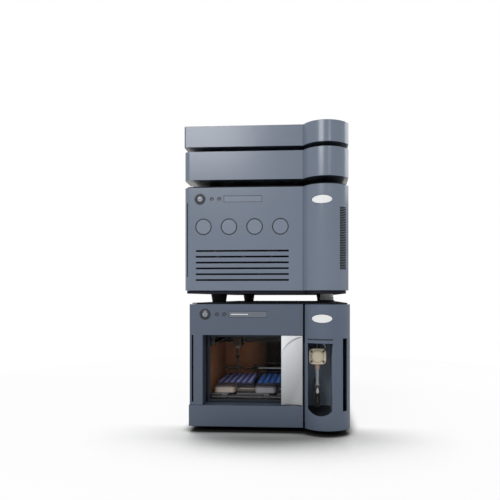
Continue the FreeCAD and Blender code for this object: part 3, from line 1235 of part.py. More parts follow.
def make_tray():
    """An open moulded tray for solvent bottles, with low cross ribs on its floor."""
    floor = TRAY_BOTTOM + SKIN
    outer = prism(cover_plan(UPPER_LEFT, TRAY_CORNER, UPPER_RIGHT, REAR_Y), TRAY_BOTTOM, TRAY_TOP)
    hollow = cover_plan(UPPER_LEFT, TRAY_CORNER, UPPER_RIGHT, REAR_Y - TRAY_WALL, TRAY_WALL)
    tray = outer.cut(prism(hollow, floor, TRAY_TOP + 1))
    half = TRAY_RIB_WIDTH / 2
    ribs = []
    for y in TRAY_RIB_YS:
        low, high = TRAY_BOTTOM + 1, floor + TRAY_RIB_RISE
        ribs.append(box(UPPER_LEFT + 1, UPPER_RIGHT - 1, y - half, y + half, low, high))
    save("bottle_tray", tray.fuse(ribs))


def feet(places, z0, z1, r_low, r_high):
    """Tapered rubber feet."""
    return [Part.makeCone(r_low, r_high, z1 - z0, V(x, y, z0)) for x, y in places]


def four_feet(left, right, front, rear):
    return [(left, front), (left, rear), (right, rear), (right, front)]


def make_feet():
    bench = four_feet(LEFT_FOOT_X, RIGHT_FOOT_X, BENCH_FOOT_Y, REAR_FOOT_Y)
    save_group("sampler_feet", feet(bench, 0, FOOT_HEIGHT, *BENCH_FOOT_R))
    z0 = SAMPLER_TOP + LID_RISE + SHEET
    z1 = PUMP_BOTTOM - PAN_DROP
    split = z0 + LEVELLING_PAD
    rubber = four_feet(PUMP_LEFT_FOOT_X, PUMP_RIGHT_FOOT_X, FRONT_FOOT_Y, PUMP_REAR_FOOT_Y)
    x, y = rubber.pop()
    save("levelling_collar", rod(LEVELLING_COLLAR_R, (x, y, split), (0, 0, 1), z1 - split))
    stack = feet(rubber, z0, z1, *PUMP_FOOT_R)
    stack.append(rod(LEVELLING_PAD_R, (x, y, z0), (0, 0, 1), LEVELLING_PAD))
    upper = four_feet(UPPER_LEFT_FOOT_X, UPPER_RIGHT_FOOT_X, UPPER_FOOT_Y, REAR_FOOT_Y)
    stack += feet(upper, PUMP_TOP + LID_RISE + SHEET, HEATER_BOTTOM, *UPPER_FOOT_R)
    stack += feet(upper, HEATER_TOP, TRAY_BOTTOM, *UPPER_FOOT_R)
    save_group("stacking_feet", stack)


def main():
    make_cases()
    make_sampler_front()
    make_sampler_door()
    make_column_door()
    make_hinge_pins()
    make_chamber()
    make_needle_drive()
    make_bay()
    make_fluidics()
    make_pump_door()
    make_pumps()
    make_heater()
    make_tray()
    make_feet()
    controls = {
        "sampler": (SAMPLER_BUTTON_X, SAMPLER_CONTROL_Z),
        "pump": (PUMP_BUTTON_X, PUMP_CONTROL_Z),
    }
    for module, (x, z) in controls.items():
        save(module + "_button", power_button(x, z))
        save_group(module + "_lamps", lamps(x, z))
        save(module + "_display", display_window(x, z))
        save(module + "_fan_rotor", fan_rotor(module))
    save_group("fan_frames", [fan_frame(module) for module in FAN_XS])
    inlets = [power_inlet("sampler", FOOT_HEIGHT + SHEET), power_inlet("pump", PUMP_BOTTOM - RUN)]
    save_group("power_inlets", inlets)


main()
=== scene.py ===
"""Looks of a bench-top liquid chromatography stack: paints, plastics, glass, small trim and the studio.

Run as a script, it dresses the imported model. Registered, it shows the same steps in the 3D view's sidebar.
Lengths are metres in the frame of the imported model: +X right, +Y back, +Z up, origin on the bench.
"""

import math

import bmesh
import bpy
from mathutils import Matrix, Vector


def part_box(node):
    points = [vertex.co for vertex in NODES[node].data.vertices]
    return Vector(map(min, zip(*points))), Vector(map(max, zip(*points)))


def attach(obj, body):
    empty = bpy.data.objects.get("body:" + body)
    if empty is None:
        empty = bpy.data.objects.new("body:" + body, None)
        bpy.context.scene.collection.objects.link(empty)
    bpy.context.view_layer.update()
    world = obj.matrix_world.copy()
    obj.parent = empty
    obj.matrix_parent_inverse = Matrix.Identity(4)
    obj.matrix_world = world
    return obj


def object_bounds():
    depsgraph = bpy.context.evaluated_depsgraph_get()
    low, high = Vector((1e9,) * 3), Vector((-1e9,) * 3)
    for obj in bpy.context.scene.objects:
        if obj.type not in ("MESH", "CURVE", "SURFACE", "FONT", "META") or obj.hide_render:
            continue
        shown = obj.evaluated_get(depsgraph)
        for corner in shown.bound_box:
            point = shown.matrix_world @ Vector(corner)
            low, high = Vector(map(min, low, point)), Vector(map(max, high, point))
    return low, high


bl_info = {
    "name": "Liquid chromatography stack looks",
    "version": (1, 0, 0),
    "blender": (4, 5, 0),
    "location": "3D View > Sidebar > Chromatography",
    "description": "Dresses the packed model of a liquid chromatography stack",
    "category": "Object",
}

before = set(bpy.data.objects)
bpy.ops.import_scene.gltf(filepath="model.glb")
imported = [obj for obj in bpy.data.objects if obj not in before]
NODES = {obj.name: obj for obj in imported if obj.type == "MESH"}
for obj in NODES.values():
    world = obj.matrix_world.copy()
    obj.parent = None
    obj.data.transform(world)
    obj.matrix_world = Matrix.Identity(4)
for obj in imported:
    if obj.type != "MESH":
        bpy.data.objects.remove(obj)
CAD_LOW, CAD_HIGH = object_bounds()

MM = 0.001


def low(node):
    """The corner of a node's box with the least X, Y and Z."""
    return Vector(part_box(node)[0])


def high(node):
    """The corner of a node's box with the greatest X, Y and Z."""
    return Vector(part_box(node)[1])


def centre(node):
    return (low(node) + high(node)) / 2


# Plane of the flat front covers, and the X at which they give way to the round columns
FLAT_FRONT = low("sampler_fascia").y
SEAM = high("sampler_fascia").x


# Sizes and colours that a user would change

def colour(name, about, value):
    return bpy.props.FloatVectorProperty(
        name=name, description=about, subtype="COLOR", size=3, min=0.0, max=1.0, default=value,
    )


def length(name, about, value):
    return bpy.props.FloatProperty(
        name=name, description=about, subtype="DISTANCE", unit="LENGTH", min=0.0, default=value, precision=5,
    )


def plain(name, about, value, top=100.0):
    return bpy.props.FloatProperty(name=name, description=about, min=-top, max=top, default=value)


class StackColours(bpy.types.PropertyGroup):
    upper_paint: colour("Upper covers", "Light blue-grey paint of the pump, heater and tray", (0.168, 0.203, 0.266))
    sampler_paint: colour("Sampler covers", "Slate paint of the sampler's covers", (0.085, 0.110, 0.158))
    case_paint: colour("Cases", "Powder coat of the steel cases", (0.085, 0.100, 0.135))
    # Painted light: the recess colour is lightened well past the slate covers, for light that doesn't reach into the
    # recess
    recess: colour("Recess", "Slate wall of the syringe recess", (0.36, 0.43, 0.53))
    dark: colour("Dark parts", "Black plastics and underside", (0.010, 0.012, 0.020))
    silver: colour("Grip", "Silver paint of the door grip", (0.62, 0.64, 0.66))
    # Painted light: the chamber's copper is lightened to stand in for light that doesn't reach inside the chamber
    copper: colour("Chamber wall", "Coppery brown wall of the sample chamber", (0.700, 0.300, 0.140))
    plate: colour("Sample plates", "Blue of the sample plates", (0.050, 0.190, 0.80))
    carrier: colour("Carriers", "Pale grey of the carriers", (0.29, 0.27, 0.26))
    valve: colour("Valve head", "Beige of the valve head", (0.74, 0.64, 0.48))
    badge: colour("Badges", "White of the blank badges", (0.93, 0.93, 0.94))


class TrimSizes(bpy.types.PropertyGroup):
    edge_round: length("Edge round", "Rounding of the covers' edges in the shading", 1.2 * MM)
    grain: length("Paint grain", "Spacing of the fine grain in the paint", 0.55 * MM)
    outline: length("Window outline", "Width of the dark line round the display windows", 0.9 * MM)
    screw_radius: length("Screw head", "Radius of the case screws' heads", 2.8 * MM)
    screw_pitch: length("Screw pitch", "Greatest distance between two case screws", 105.0 * MM)
    sign_radius: length("Power sign", "Radius of the sign on the power buttons", 3.4 * MM)
    mark_pitch: length("Syringe marks", "Spacing of the marks on the syringe", 2.0 * MM)


class StudioSettings(bpy.types.PropertyGroup):
    camera_x: length("Camera X", "Camera's place across the stack", 0.094)
    camera_back: length("Camera distance", "Distance from the camera to the flat front", 1.050)
    camera_z: length("Camera height", "Camera's height above the bench", 0.280)
    turn: plain("Camera turn", "Turn of the level camera, in degrees", 3.4, 360.0)
    lens: plain("Lens", "Focal length in millimetres", 36.7, 500.0)
    shift_x: plain("Shift X", "Sideways shift that frames the stack", -0.063, 2.0)
    shift_y: plain("Shift Y", "Upward shift that frames the stack", 0.095, 2.0)
    air: plain("Air light", "Strength of the even light from all round", 0.36, 10.0)
    key: plain("Key lamp", "Power of the lamp at the front left, in watts", 19.0, 500.0)
    strip: plain("Strip lamp", "Power of the narrow lamp at the front right, in watts", 3.2, 500.0)
    side: plain("Side lamp", "Power of the lamp at the right, in watts", 7.5, 500.0)
    top: plain("Top lamp", "Power of the lamp above, in watts", 32.0, 500.0)


# Shader maths

class Sum:
    """A number socket that takes part in Python expressions; each sign adds a Math node."""

    def __init__(self, finish, socket):
        self.finish = finish
        self.socket = socket

    def step(self, operation, *terms, clamp=False):
        made = self.finish.node("ShaderNodeMath", {"operation": operation, "use_clamp": clamp}, list(terms))
        return Sum(self.finish, made.outputs[0])

    def __add__(self, other):
        return self.step("ADD", self, other)

    __radd__ = __add__

    def __sub__(self, other):
        return self.step("SUBTRACT", self, other)

    def __rsub__(self, other):
        return self.step("SUBTRACT", other, self)

    def __mul__(self, other):
        return self.step("MULTIPLY", self, other)

    __rmul__ = __mul__

    def __truediv__(self, other):
        return self.step("DIVIDE", self, other)

    def __gt__(self, other):
        return self.step("GREATER_THAN", self, other)

    def __lt__(self, other):
        return self.step("LESS_THAN", self, other)

    def __pow__(self, other):
        return self.step("POWER", self, other)

    def __abs__(self):
        return self.step("ABSOLUTE", self)

    def least(self, other):
        return self.step("MINIMUM", self, other)

    def most(self, other):
        return self.step("MAXIMUM", self, other)

    def part(self):
        return self.step("FRACT", self)

    def held(self):
        return self.step("ADD", self, 0.0, clamp=True)

    def ramp(self, start, end):
        """0 at start, 1 at end, held between."""
        return ((self - start) / (end - start)).held()


class Finish:
    """A material with one Principled shader, built from expressions."""

    def __init__(self, name):
        self.material = bpy.data.materials.new(name)
        self.material.use_nodes = True
        self.tree = self.material.node_tree
        self.tree.nodes.clear()
        self.shader = self.node("ShaderNodeBsdfPrincipled", {}, {})
        self.output = self.node("ShaderNodeOutputMaterial", {}, {"Surface": self.shader.outputs[0]})
        self.place = self.node("ShaderNodeTexCoord", {}, {}).outputs["Object"]
        split = self.node("ShaderNodeSeparateXYZ", {}, [self.place])
        self.x, self.y, self.z = (Sum(self, s) for s in split.outputs)

    def node(self, kind, options, sockets):
        made = self.tree.nodes.new(kind)
        for key, value in options.items():
            setattr(made, key, value)
        pairs = enumerate(sockets) if isinstance(sockets, list) else sockets.items()
        for key, value in pairs:
            self.feed(made.inputs[key], value)
        return made

    def feed(self, socket, value):
        if isinstance(value, Sum):
            value = value.socket
        if isinstance(value, bpy.types.NodeSocket):
            self.tree.links.new(value, socket)
        elif socket.type == "RGBA" and len(value) == 3:
            socket.default_value = (*value, 1.0)
        else:
            socket.default_value = value

    def set(self, **sockets):
        """Sets sockets of the shader; an underscore stands for a space."""
        for key, value in sockets.items():
            self.feed(self.shader.inputs[key.replace("_", " ")], value)
        return self

    def noise(self, spacing, detail=2.0, stretch=None):
        """Noise from 0 to 1 whose blotches are about spacing across, in metres."""
        where = self.place
        if stretch:
            where = self.node("ShaderNodeMapping", {}, {"Vector": self.place, "Scale": stretch}).outputs[0]
        made = self.node(
            "ShaderNodeTexNoise", {"noise_dimensions": "3D"},
            {"Vector": where, "Scale": 1.0 / spacing, "Detail": detail, "Roughness": 0.55},
        )
        return Sum(self, made.outputs[0])

    def blend(self, factor, first, second):
        """A colour between first and second; 6, 7 and 2 are a Mix node's colour sockets."""
        return self.node("ShaderNodeMix", {"data_type": "RGBA"}, {0: factor, 6: first, 7: second}).outputs[2]

    def tint(self, base, amount, factor):
        """base made lighter or darker by up to amount as factor runs from 0 to 1."""
        dark = [c * (1 - amount) for c in base]
        light = [min(1.0, c * (1 + amount)) for c in base]
        return self.blend(factor, dark, light)

    def shade(self, amount, deep=(0.004, 0.005, 0.010)):
        """Darkens the base colour where amount is above 0."""
        socket = self.shader.inputs["Base Color"]
        base = socket.links[0].from_socket
        self.feed(socket, self.blend(amount, base, deep))
        return self

    def away_from(self, x, z):
        """Distance from a line along Y."""
        across, up = self.x - x, self.z - z
        return (across * across + up * up) ** 0.5

    def bump(self, height, strength, distance, round_off=0.0):
        sockets = {"Height": height, "Strength": strength, "Distance": distance}
        if round_off:
            made = self.node("ShaderNodeBevel", {"samples": 4}, {"Radius": round_off})
            sockets["Normal"] = made.outputs[0]
        self.feed(self.shader.inputs["Normal"], self.node("ShaderNodeBump", {}, sockets).outputs[0])
        return self


def paint(name, base, rough=0.42, coat=0.0):
    """Moulded cover with a fine-grained paint."""
    trim = bpy.context.scene.trim_sizes
    f = Finish(name)
    grain = f.noise(trim.grain, 1.0)
    cloud = f.noise(0.11, 3.0)
    f.set(Base_Color=f.tint(base, 0.07, cloud * 0.75 + grain * 0.25), Roughness=rough - 0.05 + 0.08 * cloud)
    f.set(Coat_Weight=coat, Coat_Roughness=0.25, Specular_IOR_Level=0.45)
    return f.bump(grain, 0.16, 0.00008, trim.edge_round)


def plastic(name, base, rough=0.4, spacing=0.0007, strength=0.1, specular=0.5):
    """Plain moulded plastic or coated sheet with a faint grain."""
    f = Finish(name)
    grain = f.noise(spacing, 2.0)
    cloud = f.noise(0.03, 2.0)
    f.set(Base_Color=f.tint(base, 0.10, cloud), Roughness=rough - 0.04 + 0.08 * grain)
    f.set(Specular_IOR_Level=specular)
    return f.bump(grain, strength, 0.00006, 0.0004)


def steel(name, base=(0.60, 0.60, 0.61), rough=0.22, along=(1.0, 1.0, 18.0)):
    """Ground or drawn steel with fine marks along one way."""
    f = Finish(name)
    marks = f.noise(0.0009, 3.0, along)
    f.set(Base_Color=f.tint(base, 0.10, marks), Roughness=rough - 0.06 + 0.16 * marks, Metallic=1.0)
    return f.bump(marks, 0.08, 0.00005)


def dress(finish, *nodes):
    """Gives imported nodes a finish."""
    for name in nodes:
        slots = NODES[name].material_slots
        if not slots:
            NODES[name].data.materials.append(finish.material)
        for s in NODES[name].material_slots:
            s.material = finish.material


# Meshes

def finished(name, mesh_maker, finish, body, smooth=None):
    """An object at the origin from a bmesh filled by mesh_maker; it rides on a body."""
    bm = bmesh.new()
    mesh_maker(bm)
    bmesh.ops.remove_doubles(bm, verts=bm.verts, dist=1e-7)
    bmesh.ops.recalc_face_normals(bm, faces=bm.faces)
    mesh = bpy.data.meshes.new(name)
    bm.to_mesh(mesh)
    bm.free()
    return adopt(name, mesh, finish, body, smooth)


def adopt(name, mesh, finish, body, smooth=None):
    made = bpy.data.objects.new(name, mesh)
    bpy.context.scene.collection.objects.link(made)
    mesh.materials.clear()
    mesh.materials.append(finish.material)
    for polygon in mesh.polygons:
        polygon.material_index = 0
        polygon.use_smooth = smooth is not None
    if smooth is not None:
        mesh.set_sharp_from_angle(angle=math.radians(smooth))
    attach(made, body)
    return made


def lathe(bm, profile, where, axis="Y", steps=64):
    """Turns a closed profile of (radius, height) points about an axis through where."""
    rings = []
    for i in range(steps):
        a = 2 * math.pi * i / steps
        ring = []
        for r, h in profile:
            u, v = r * math.cos(a), r * math.sin(a)
            p = {"X": (h, u, v), "Y": (u, h, v), "Z": (u, v, h)}[axis]
            ring.append(bm.verts.new(Vector(where) + Vector(p)))
        rings.append(ring)
    count = len(profile)
    for i in range(steps):
        a, b = rings[i], rings[(i + 1) % steps]
        for k in range(count):
            n = (k + 1) % count
            bm.faces.new((a[k], a[n], b[n], b[k]))


def block(bm, lo, hi):
    """A box between two corners."""
    made = bmesh.ops.create_cube(bm, size=1.0)
    size = Vector(hi) - Vector(lo)
    middle = (Vector(hi) + Vector(lo)) / 2
    for v in made["verts"]:
        v.co = Vector((v.co.x * size.x, v.co.y * size.y, v.co.z * size.z)) + middle
    return made["verts"]


def soft_block(bm, lo, hi, round_off, segments=3):
    """A box between two corners with rounded edges."""
    verts = block(bm, lo, hi)
    edges = {e for v in verts for e in v.link_edges}
    bmesh.ops.bevel(bm, geom=list(edges), offset=round_off, segments=segments, profile=0.5, affect="EDGES")


# Repeats made by Geometry Nodes

class Plan:
    """A Geometry Nodes tree, built node by node."""

    def __init__(self, name):
        self.tree = bpy.data.node_groups.new(name, "GeometryNodeTree")
        self.tree.is_modifier = True
        self.tree.interface.new_socket("Geometry", in_out="INPUT", socket_type="NodeSocketGeometry")
        self.tree.interface.new_socket("Geometry", in_out="OUTPUT", socket_type="NodeSocketGeometry")
        self.entry = self.tree.nodes.new("NodeGroupInput")
        self.exit = self.tree.nodes.new("NodeGroupOutput")
        self.keys = {}

    def size(self, name, value, kind="NodeSocketFloat"):
        """A named input with its default."""
        socket = self.tree.interface.new_socket(name, in_out="INPUT", socket_type=kind)
        socket.default_value = value
        self.keys[name] = socket.identifier
        return self.entry.outputs[name]

    def node(self, kind, options, sockets):
        made = self.tree.nodes.new(kind)
        for key, value in options.items():
            setattr(made, key, value)
        for key, value in sockets.items():
            for each in value if isinstance(value, list) else [value]:
                if isinstance(each, bpy.types.NodeSocket):
                    self.tree.links.new(each, made.inputs[key])
                else:
                    made.inputs[key].default_value = each
        return made.outputs[0]

    def maths(self, operation, first, second):
        made = self.tree.nodes.new("ShaderNodeMath")
        made.operation = operation
        for socket, value in zip(made.inputs, (first, second)):
            if isinstance(value, bpy.types.NodeSocket):
                self.tree.links.new(value, socket)
            else:
                socket.default_value = value
        return made.outputs[0]

    def vector(self, x=0.0, y=0.0, z=0.0):
        return self.node("ShaderNodeCombineXYZ", {}, {"X": x, "Y": y, "Z": z})

    def close(self, geometry, material):
        real = self.node("GeometryNodeRealizeInstances", {}, {"Geometry": geometry})
        dyed = self.node("GeometryNodeSetMaterial", {}, {"Geometry": real, "Material": material})
        self.tree.links.new(dyed, self.exit.inputs[0])
        return self

    def grown(self, points, edges, name, values):
        """Runs the tree on points and edges with some inputs set, and returns a plain mesh."""
        seed = bpy.data.meshes.new(name + "_seed")
        seed.from_pydata([tuple(p) for p in points], edges, [])
        holder = bpy.data.objects.new(name + "_seed", seed)
        bpy.context.scene.collection.objects.link(holder)
        modifier = holder.modifiers.new("repeat", "NODES")
        modifier.node_group = self.tree
        for key, value in values.items():
            modifier[self.keys[key]] = value
        graph = bpy.context.evaluated_depsgraph_get()
        mesh = bpy.data.meshes.new_from_object(holder.evaluated_get(graph))
        bpy.data.objects.remove(holder)
        bpy.data.meshes.remove(seed)
        return mesh


def screw_plan(name, material):
    """Flat-domed screw heads with a cross recess, evenly spaced on each loose edge, ends included."""
    plan = Plan(name)
    radius = plan.size("Head radius", 2.8 * MM)
    pitch = plan.size("Pitch", 105.0 * MM)
    turn = plan.size("Turn", (0.0, 0.0, 0.0), "NodeSocketVector")
    head = plan.node("GeometryNodeMeshUVSphere", {}, {"Segments": 14, "Rings": 6, "Radius": radius})
    flat = plan.node("GeometryNodeTransform", {}, {"Geometry": head, "Scale": (1.0, 1.0, 0.42)})
    bar = plan.node("GeometryNodeMeshCube", {}, {"Size": plan.vector(
        plan.maths("MULTIPLY", radius, 1.15), plan.maths("MULTIPLY", radius, 0.26), plan.maths("MULTIPLY", radius, 0.5),
    )})
    up = plan.vector(z=plan.maths("MULTIPLY", radius, 0.45))
    slot = plan.node("GeometryNodeTransform", {}, {"Geometry": bar, "Translation": up})
    crossed = plan.node("GeometryNodeTransform", {}, {"Geometry": slot, "Rotation": (0.0, 0.0, math.pi / 2)})
    cut = plan.node("GeometryNodeMeshBoolean", {"operation": "DIFFERENCE"}, {"Mesh 1": flat, "Mesh 2": [slot, crossed]})
    rows = plan.node("GeometryNodeMeshToCurve", {}, {"Mesh": plan.entry.outputs[0]})
    even = plan.node("GeometryNodeResampleCurve", {"mode": "LENGTH"}, {"Curve": rows, "Length": pitch})
    spots = plan.node("GeometryNodeCurveToPoints", {"mode": "EVALUATED"}, {"Curve": even})
    placed = plan.node("GeometryNodeInstanceOnPoints", {}, {"Points": spots, "Instance": cut, "Rotation": turn})
    return plan.close(placed, material)


def knurl_plan(name, material):
    """Upright ribs round a circle at each loose point."""
    plan = Plan(name)
    radius = plan.size("Radius", 14.0 * MM)
    height = plan.size("Height", 5.0 * MM)
    count = plan.size("Ribs", 40, "NodeSocketInt")
    ring = plan.node("GeometryNodeMeshCircle", {}, {"Vertices": count, "Radius": radius})
    rib = plan.node("GeometryNodeMeshCylinder", {}, {"Vertices": 6, "Radius": 0.75 * MM, "Depth": height})
    band = plan.node("GeometryNodeInstanceOnPoints", {}, {"Points": ring, "Instance": rib})
    placed = plan.node("GeometryNodeInstanceOnPoints", {}, {"Points": plan.entry.outputs[0], "Instance": band})
    return plan.close(placed, material)


def marks_plan(name, material):
    """Thin rings one above another at each loose point."""
    plan = Plan(name)
    radius = plan.size("Radius", 5.6 * MM)
    pitch = plan.size("Pitch", 2.0 * MM)
    count = plan.size("Marks", 12, "NodeSocketInt")
    wire = plan.size("Line width", 0.14 * MM)
    loop = plan.node("GeometryNodeCurvePrimitiveCircle", {}, {"Resolution": 32, "Radius": radius})
    outline = plan.node("GeometryNodeCurvePrimitiveCircle", {}, {"Resolution": 5, "Radius": wire})
    mark = plan.node("GeometryNodeCurveToMesh", {}, {"Curve": loop, "Profile Curve": outline})
    column = plan.node("GeometryNodeMeshLine", {}, {"Count": count, "Offset": plan.vector(z=pitch)})
    scale = plan.node("GeometryNodeInstanceOnPoints", {}, {"Points": column, "Instance": mark})
    placed = plan.node("GeometryNodeInstanceOnPoints", {}, {"Points": plan.entry.outputs[0], "Instance": scale})
    return plan.close(placed, material)


# Pieces

# Kinds of ray that meet a plain white background
WHITE_RAYS = ("Is Camera Ray", "Is Glossy Ray", "Is Transmission Ray")


class StackOperator(bpy.types.Operator):
    """Common base of the stack's steps."""

    bl_options = {"REGISTER", "UNDO"}


class STACK_OT_stage(StackOperator):
    """Floor, soft lamps and the level camera"""

    bl_idname = "stack.stage"
    bl_label = "Studio"

    def execute(self, context):
        studio = context.scene.studio_settings
        self.lay_floor(context)
        self.fill_air(context)
        # Name, place, target, width, height and power
        lamps = (
            ("key", (-0.71, -2.45, 1.45), (0.0, -0.3, 0.42), 0.85, 0.65, studio.key),
            ("strip", (0.76, -2.45, 1.45), (0.12, -0.35, 0.5), 0.12, 0.65, studio.strip),
            ("side", (1.65, 0.25, 1.15), (0.1, -0.2, 0.5), 0.8, 0.7, studio.side),
            ("top", (-0.45, 0.75, 2.3), (0.0, 0.0, 0.1), 1.8, 1.8, studio.top),
        )
        for name, place, target, wide, tall, power in lamps:
            lamp = bpy.data.lights.new(name, "AREA")
            lamp.shape = "RECTANGLE"
            lamp.size = wide
            lamp.size_y = tall
            lamp.energy = power
            holder = bpy.data.objects.new(name, lamp)
            holder.location = place
            aim = Vector(target) - Vector(place)
            holder.rotation_euler = aim.to_track_quat("-Z", "Y").to_euler()
            context.scene.collection.objects.link(holder)

        camera = bpy.data.cameras.new("camera")
        camera.sensor_width = 36.0
        camera.lens = studio.lens
        camera.shift_x = studio.shift_x
        camera.shift_y = studio.shift_y
        camera.clip_start = 0.01
        camera.clip_end = 50.0
        holder = bpy.data.objects.new("camera", camera)
        holder.location = (studio.camera_x, FLAT_FRONT - studio.camera_back, studio.camera_z)
        holder.rotation_euler = (math.radians(90), 0.0, math.radians(studio.turn))
        context.scene.collection.objects.link(holder)
        context.scene.camera = holder
        context.scene.view_settings.view_transform = "Standard"
        return {"FINISHED"}

    def lay_floor(self, context):
        """A white floor that keeps the stack's shadow, adds a painted shadow from ambient occlusion near the stack and,
        further off, turns into the white background.
        """
        half, below = 30.0, 0.2 * MM
        mesh = bpy.data.meshes.new("floor")
        corners = ((-half, -half), (half, -half), (half, half), (-half, half))
        mesh.from_pydata([(x, y, -below) for x, y in corners], [], [(0, 1, 2, 3)])
        floor = bpy.data.objects.new("floor", mesh)
        context.scene.collection.objects.link(floor)
        f = Finish("floor_white")
        # Painted shadow: ambient occlusion darkens the floor's colour close round the stack and, reaching further, in
        # front of it
        close, wide = (
            Sum(f, f.node("ShaderNodeAmbientOcclusion", {"samples": 12}, {"Distance": reach}).outputs["AO"])
            for reach in (0.035, 0.24)
        )
        ahead = 1 - f.y.ramp(CAD_LOW[1] - 0.02, CAD_LOW[1] + 0.09)
        open_sky = close.ramp(0.45, 0.95).least(1 - ahead * (1 - wide.ramp(0.48, 0.98)))
        shade = f.blend(open_sky, (0.05, 0.05, 0.05), (0.94, 0.94, 0.94))
        f.set(Base_Color=shade, Roughness=0.9, Specular_IOR_Level=0.0)
        away = ((f.x * f.x + f.y * f.y) ** 0.5).ramp(0.55, 1.15)
        path = f.node("ShaderNodeLightPath", {}, {}).outputs
        seen = Sum(f, path[WHITE_RAYS[0]])
        for ray in WHITE_RAYS[1:]:
            seen = seen.most(Sum(f, path[ray]))
        white = f.node("ShaderNodeEmission", {}, {"Color": (1.0, 1.0, 1.0), "Strength": 1.0})
        bright = away.most(open_sky * open_sky * open_sky * 0.9) * seen
        mix = f.node("ShaderNodeMixShader", {}, [bright, f.shader.outputs[0], white.outputs[0]])
        f.feed(f.output.inputs["Surface"], mix.outputs[0])
        mesh.materials.append(f.material)

    def fill_air(self, context):
        """Even light from all round, with a white background where it is seen, mirrored or seen through."""
        world = bpy.data.worlds.new("studio")
        context.scene.world = world
        world.use_nodes = True
        nodes = world.node_tree.nodes
        nodes.clear()
        link = world.node_tree.links.new
        out = nodes.new("ShaderNodeOutputWorld")
        air = nodes.new("ShaderNodeBackground")
        air.inputs[1].default_value = context.scene.studio_settings.air
        seen = nodes.new("ShaderNodeBackground")
        seen.inputs[0].default_value = air.inputs[0].default_value = (1.0, 1.0, 1.0, 1.0)
        path = nodes.new("ShaderNodeLightPath")
        mix = nodes.new("ShaderNodeMixShader")
        most = path.outputs[WHITE_RAYS[0]]
        for ray in WHITE_RAYS[1:]:
            either = nodes.new("ShaderNodeMath")
            either.operation = "MAXIMUM"
            link(most, either.inputs[0])
            link(path.outputs[ray], either.inputs[1])
            most = either.outputs[0]
        link(most, mix.inputs[0])
        link(air.outputs[0], mix.inputs[1])
        link(seen.outputs[0], mix.inputs[2])
        link(mix.outputs[0], out.inputs[0])


class STACK_OT_covers(StackOperator):
    """Paint on the front covers, tray, cases and base frames"""

    bl_idname = "stack.covers"
    bl_label = "Covers and cases"

    def execute(self, context):
        c = context.scene.stack_colours
        self.paint_upper(c)
        dress(paint("sampler_paint", c.sampler_paint, 0.40), "sampler_fascia", "sampler_skirt")
        self.paint_column(c)
        case = paint("case_paint", c.case_paint, 0.5)
        dress(case, "sampler_side_panels", "sampler_rear_panel", "pump_side_panels", "pump_rear_panel")
        dress(case, "heater_pan", "heater_lid")
        # Painted shade: the lids and the bulkhead take the case paint darkened to a sixth, for the shade they sit in
        lid = plastic("lid_paint_shaded", [v * 0.16 for v in c.case_paint], 0.6, specular=0.12)
        dress(lid, "sampler_lid", "pump_lid", "pump_bulkhead")
        dress(plastic("base_paint", c.dark, 0.5, specular=0.12), "sampler_base_pan", "pump_base_frame")
        self.paint_caps(c)
        return {"FINISHED"}

    def paint_upper(self, c):
        """Light paint with painted shade in the crease at the round columns, on the undersides and on the teeth of the
        comb vent
        """
        gloss = 0.12
        upper = paint("upper_paint", c.upper_paint, 0.22, gloss)
        upper.set(Specular_IOR_Level=0.33)
        crease_half, crease_reach = 0.5 * MM, 2.0 * MM
        # Painted shade in the crease where the flat front meets the round column
        crease_shade = (abs(upper.x - SEAM) < crease_half) * (upper.y < FLAT_FRONT + crease_reach)
        down = upper.node("ShaderNodeSeparateXYZ", {}, [upper.node("ShaderNodeNewGeometry", {}, {}).outputs["Normal"]])
        # Painted shade on faces that turn down
        below = Sum(upper, down.outputs[2]) < -0.7
        comb_inset, comb_half, comb_foot, comb_head = 12.25 * MM, 6.3 * MM, 336.5 * MM, 463.5 * MM
        # Painted shade on the teeth of the comb vent
        comb = abs(upper.x - high("pump_door").x + comb_inset) < comb_half
        teeth_shade = comb * (upper.z > comb_foot) * (upper.z < comb_head) * (upper.y < FLAT_FRONT)
        upper.shade((crease_shade * 0.55).most(below * 0.82).most(teeth_shade * 0.45))
        upper.set(Coat_Weight=gloss * (1 - below))
        dress(upper, "pump_door", "heater_front", "bottle_tray")

    def paint_column(self, c):
        """Slate paint of the column door, with painted shade on the walls inside the opening and in the groove over it
        """
        door = paint("column_door_paint", [v * 1.16 for v in c.sampler_paint], 0.38)
        lo, hi = low("fluidics_panel"), high("fluidics_panel")
        margin, wall_depth = 1.0 * MM, 4.0 * MM
        inside = (door.x > lo.x - margin) * (door.x < hi.x + margin) * (door.y > FLAT_FRONT + wall_depth)
        lintel, groove_half, groove_left, groove_right = 195.2 * MM, 1.4 * MM, 85.5 * MM, 136.5 * MM
        groove = (abs(door.z - lintel) < groove_half) * (door.x > groove_left) * (door.x < groove_right)
        # Painted shade: the opening's inner walls and the groove over it are darkened
        door.shade((inside * 0.72).most(groove * 0.80))
        dress(door, "column_door")

    def paint_caps(self, c):
        """Blanking caps with a dark ring round each"""
        caps = paint("cap_paint", [v * 1.04 for v in c.upper_paint], 0.36)
        lo, hi = low("port_caps"), high("port_caps")
        flange, line_width, gaps = (hi.z - lo.z) / 2, 4.8 * MM, 3
        pitch = (hi.x - lo.x - 2 * flange) / gaps
        across = (((caps.x - (lo.x + flange)) / pitch + 0.5).part() - 0.5) * pitch
        up = caps.z - (lo.z + flange)
        caps.shade((((across * across + up * up) ** 0.5) > flange - line_width) * 0.85)
        dress(caps, "port_caps")


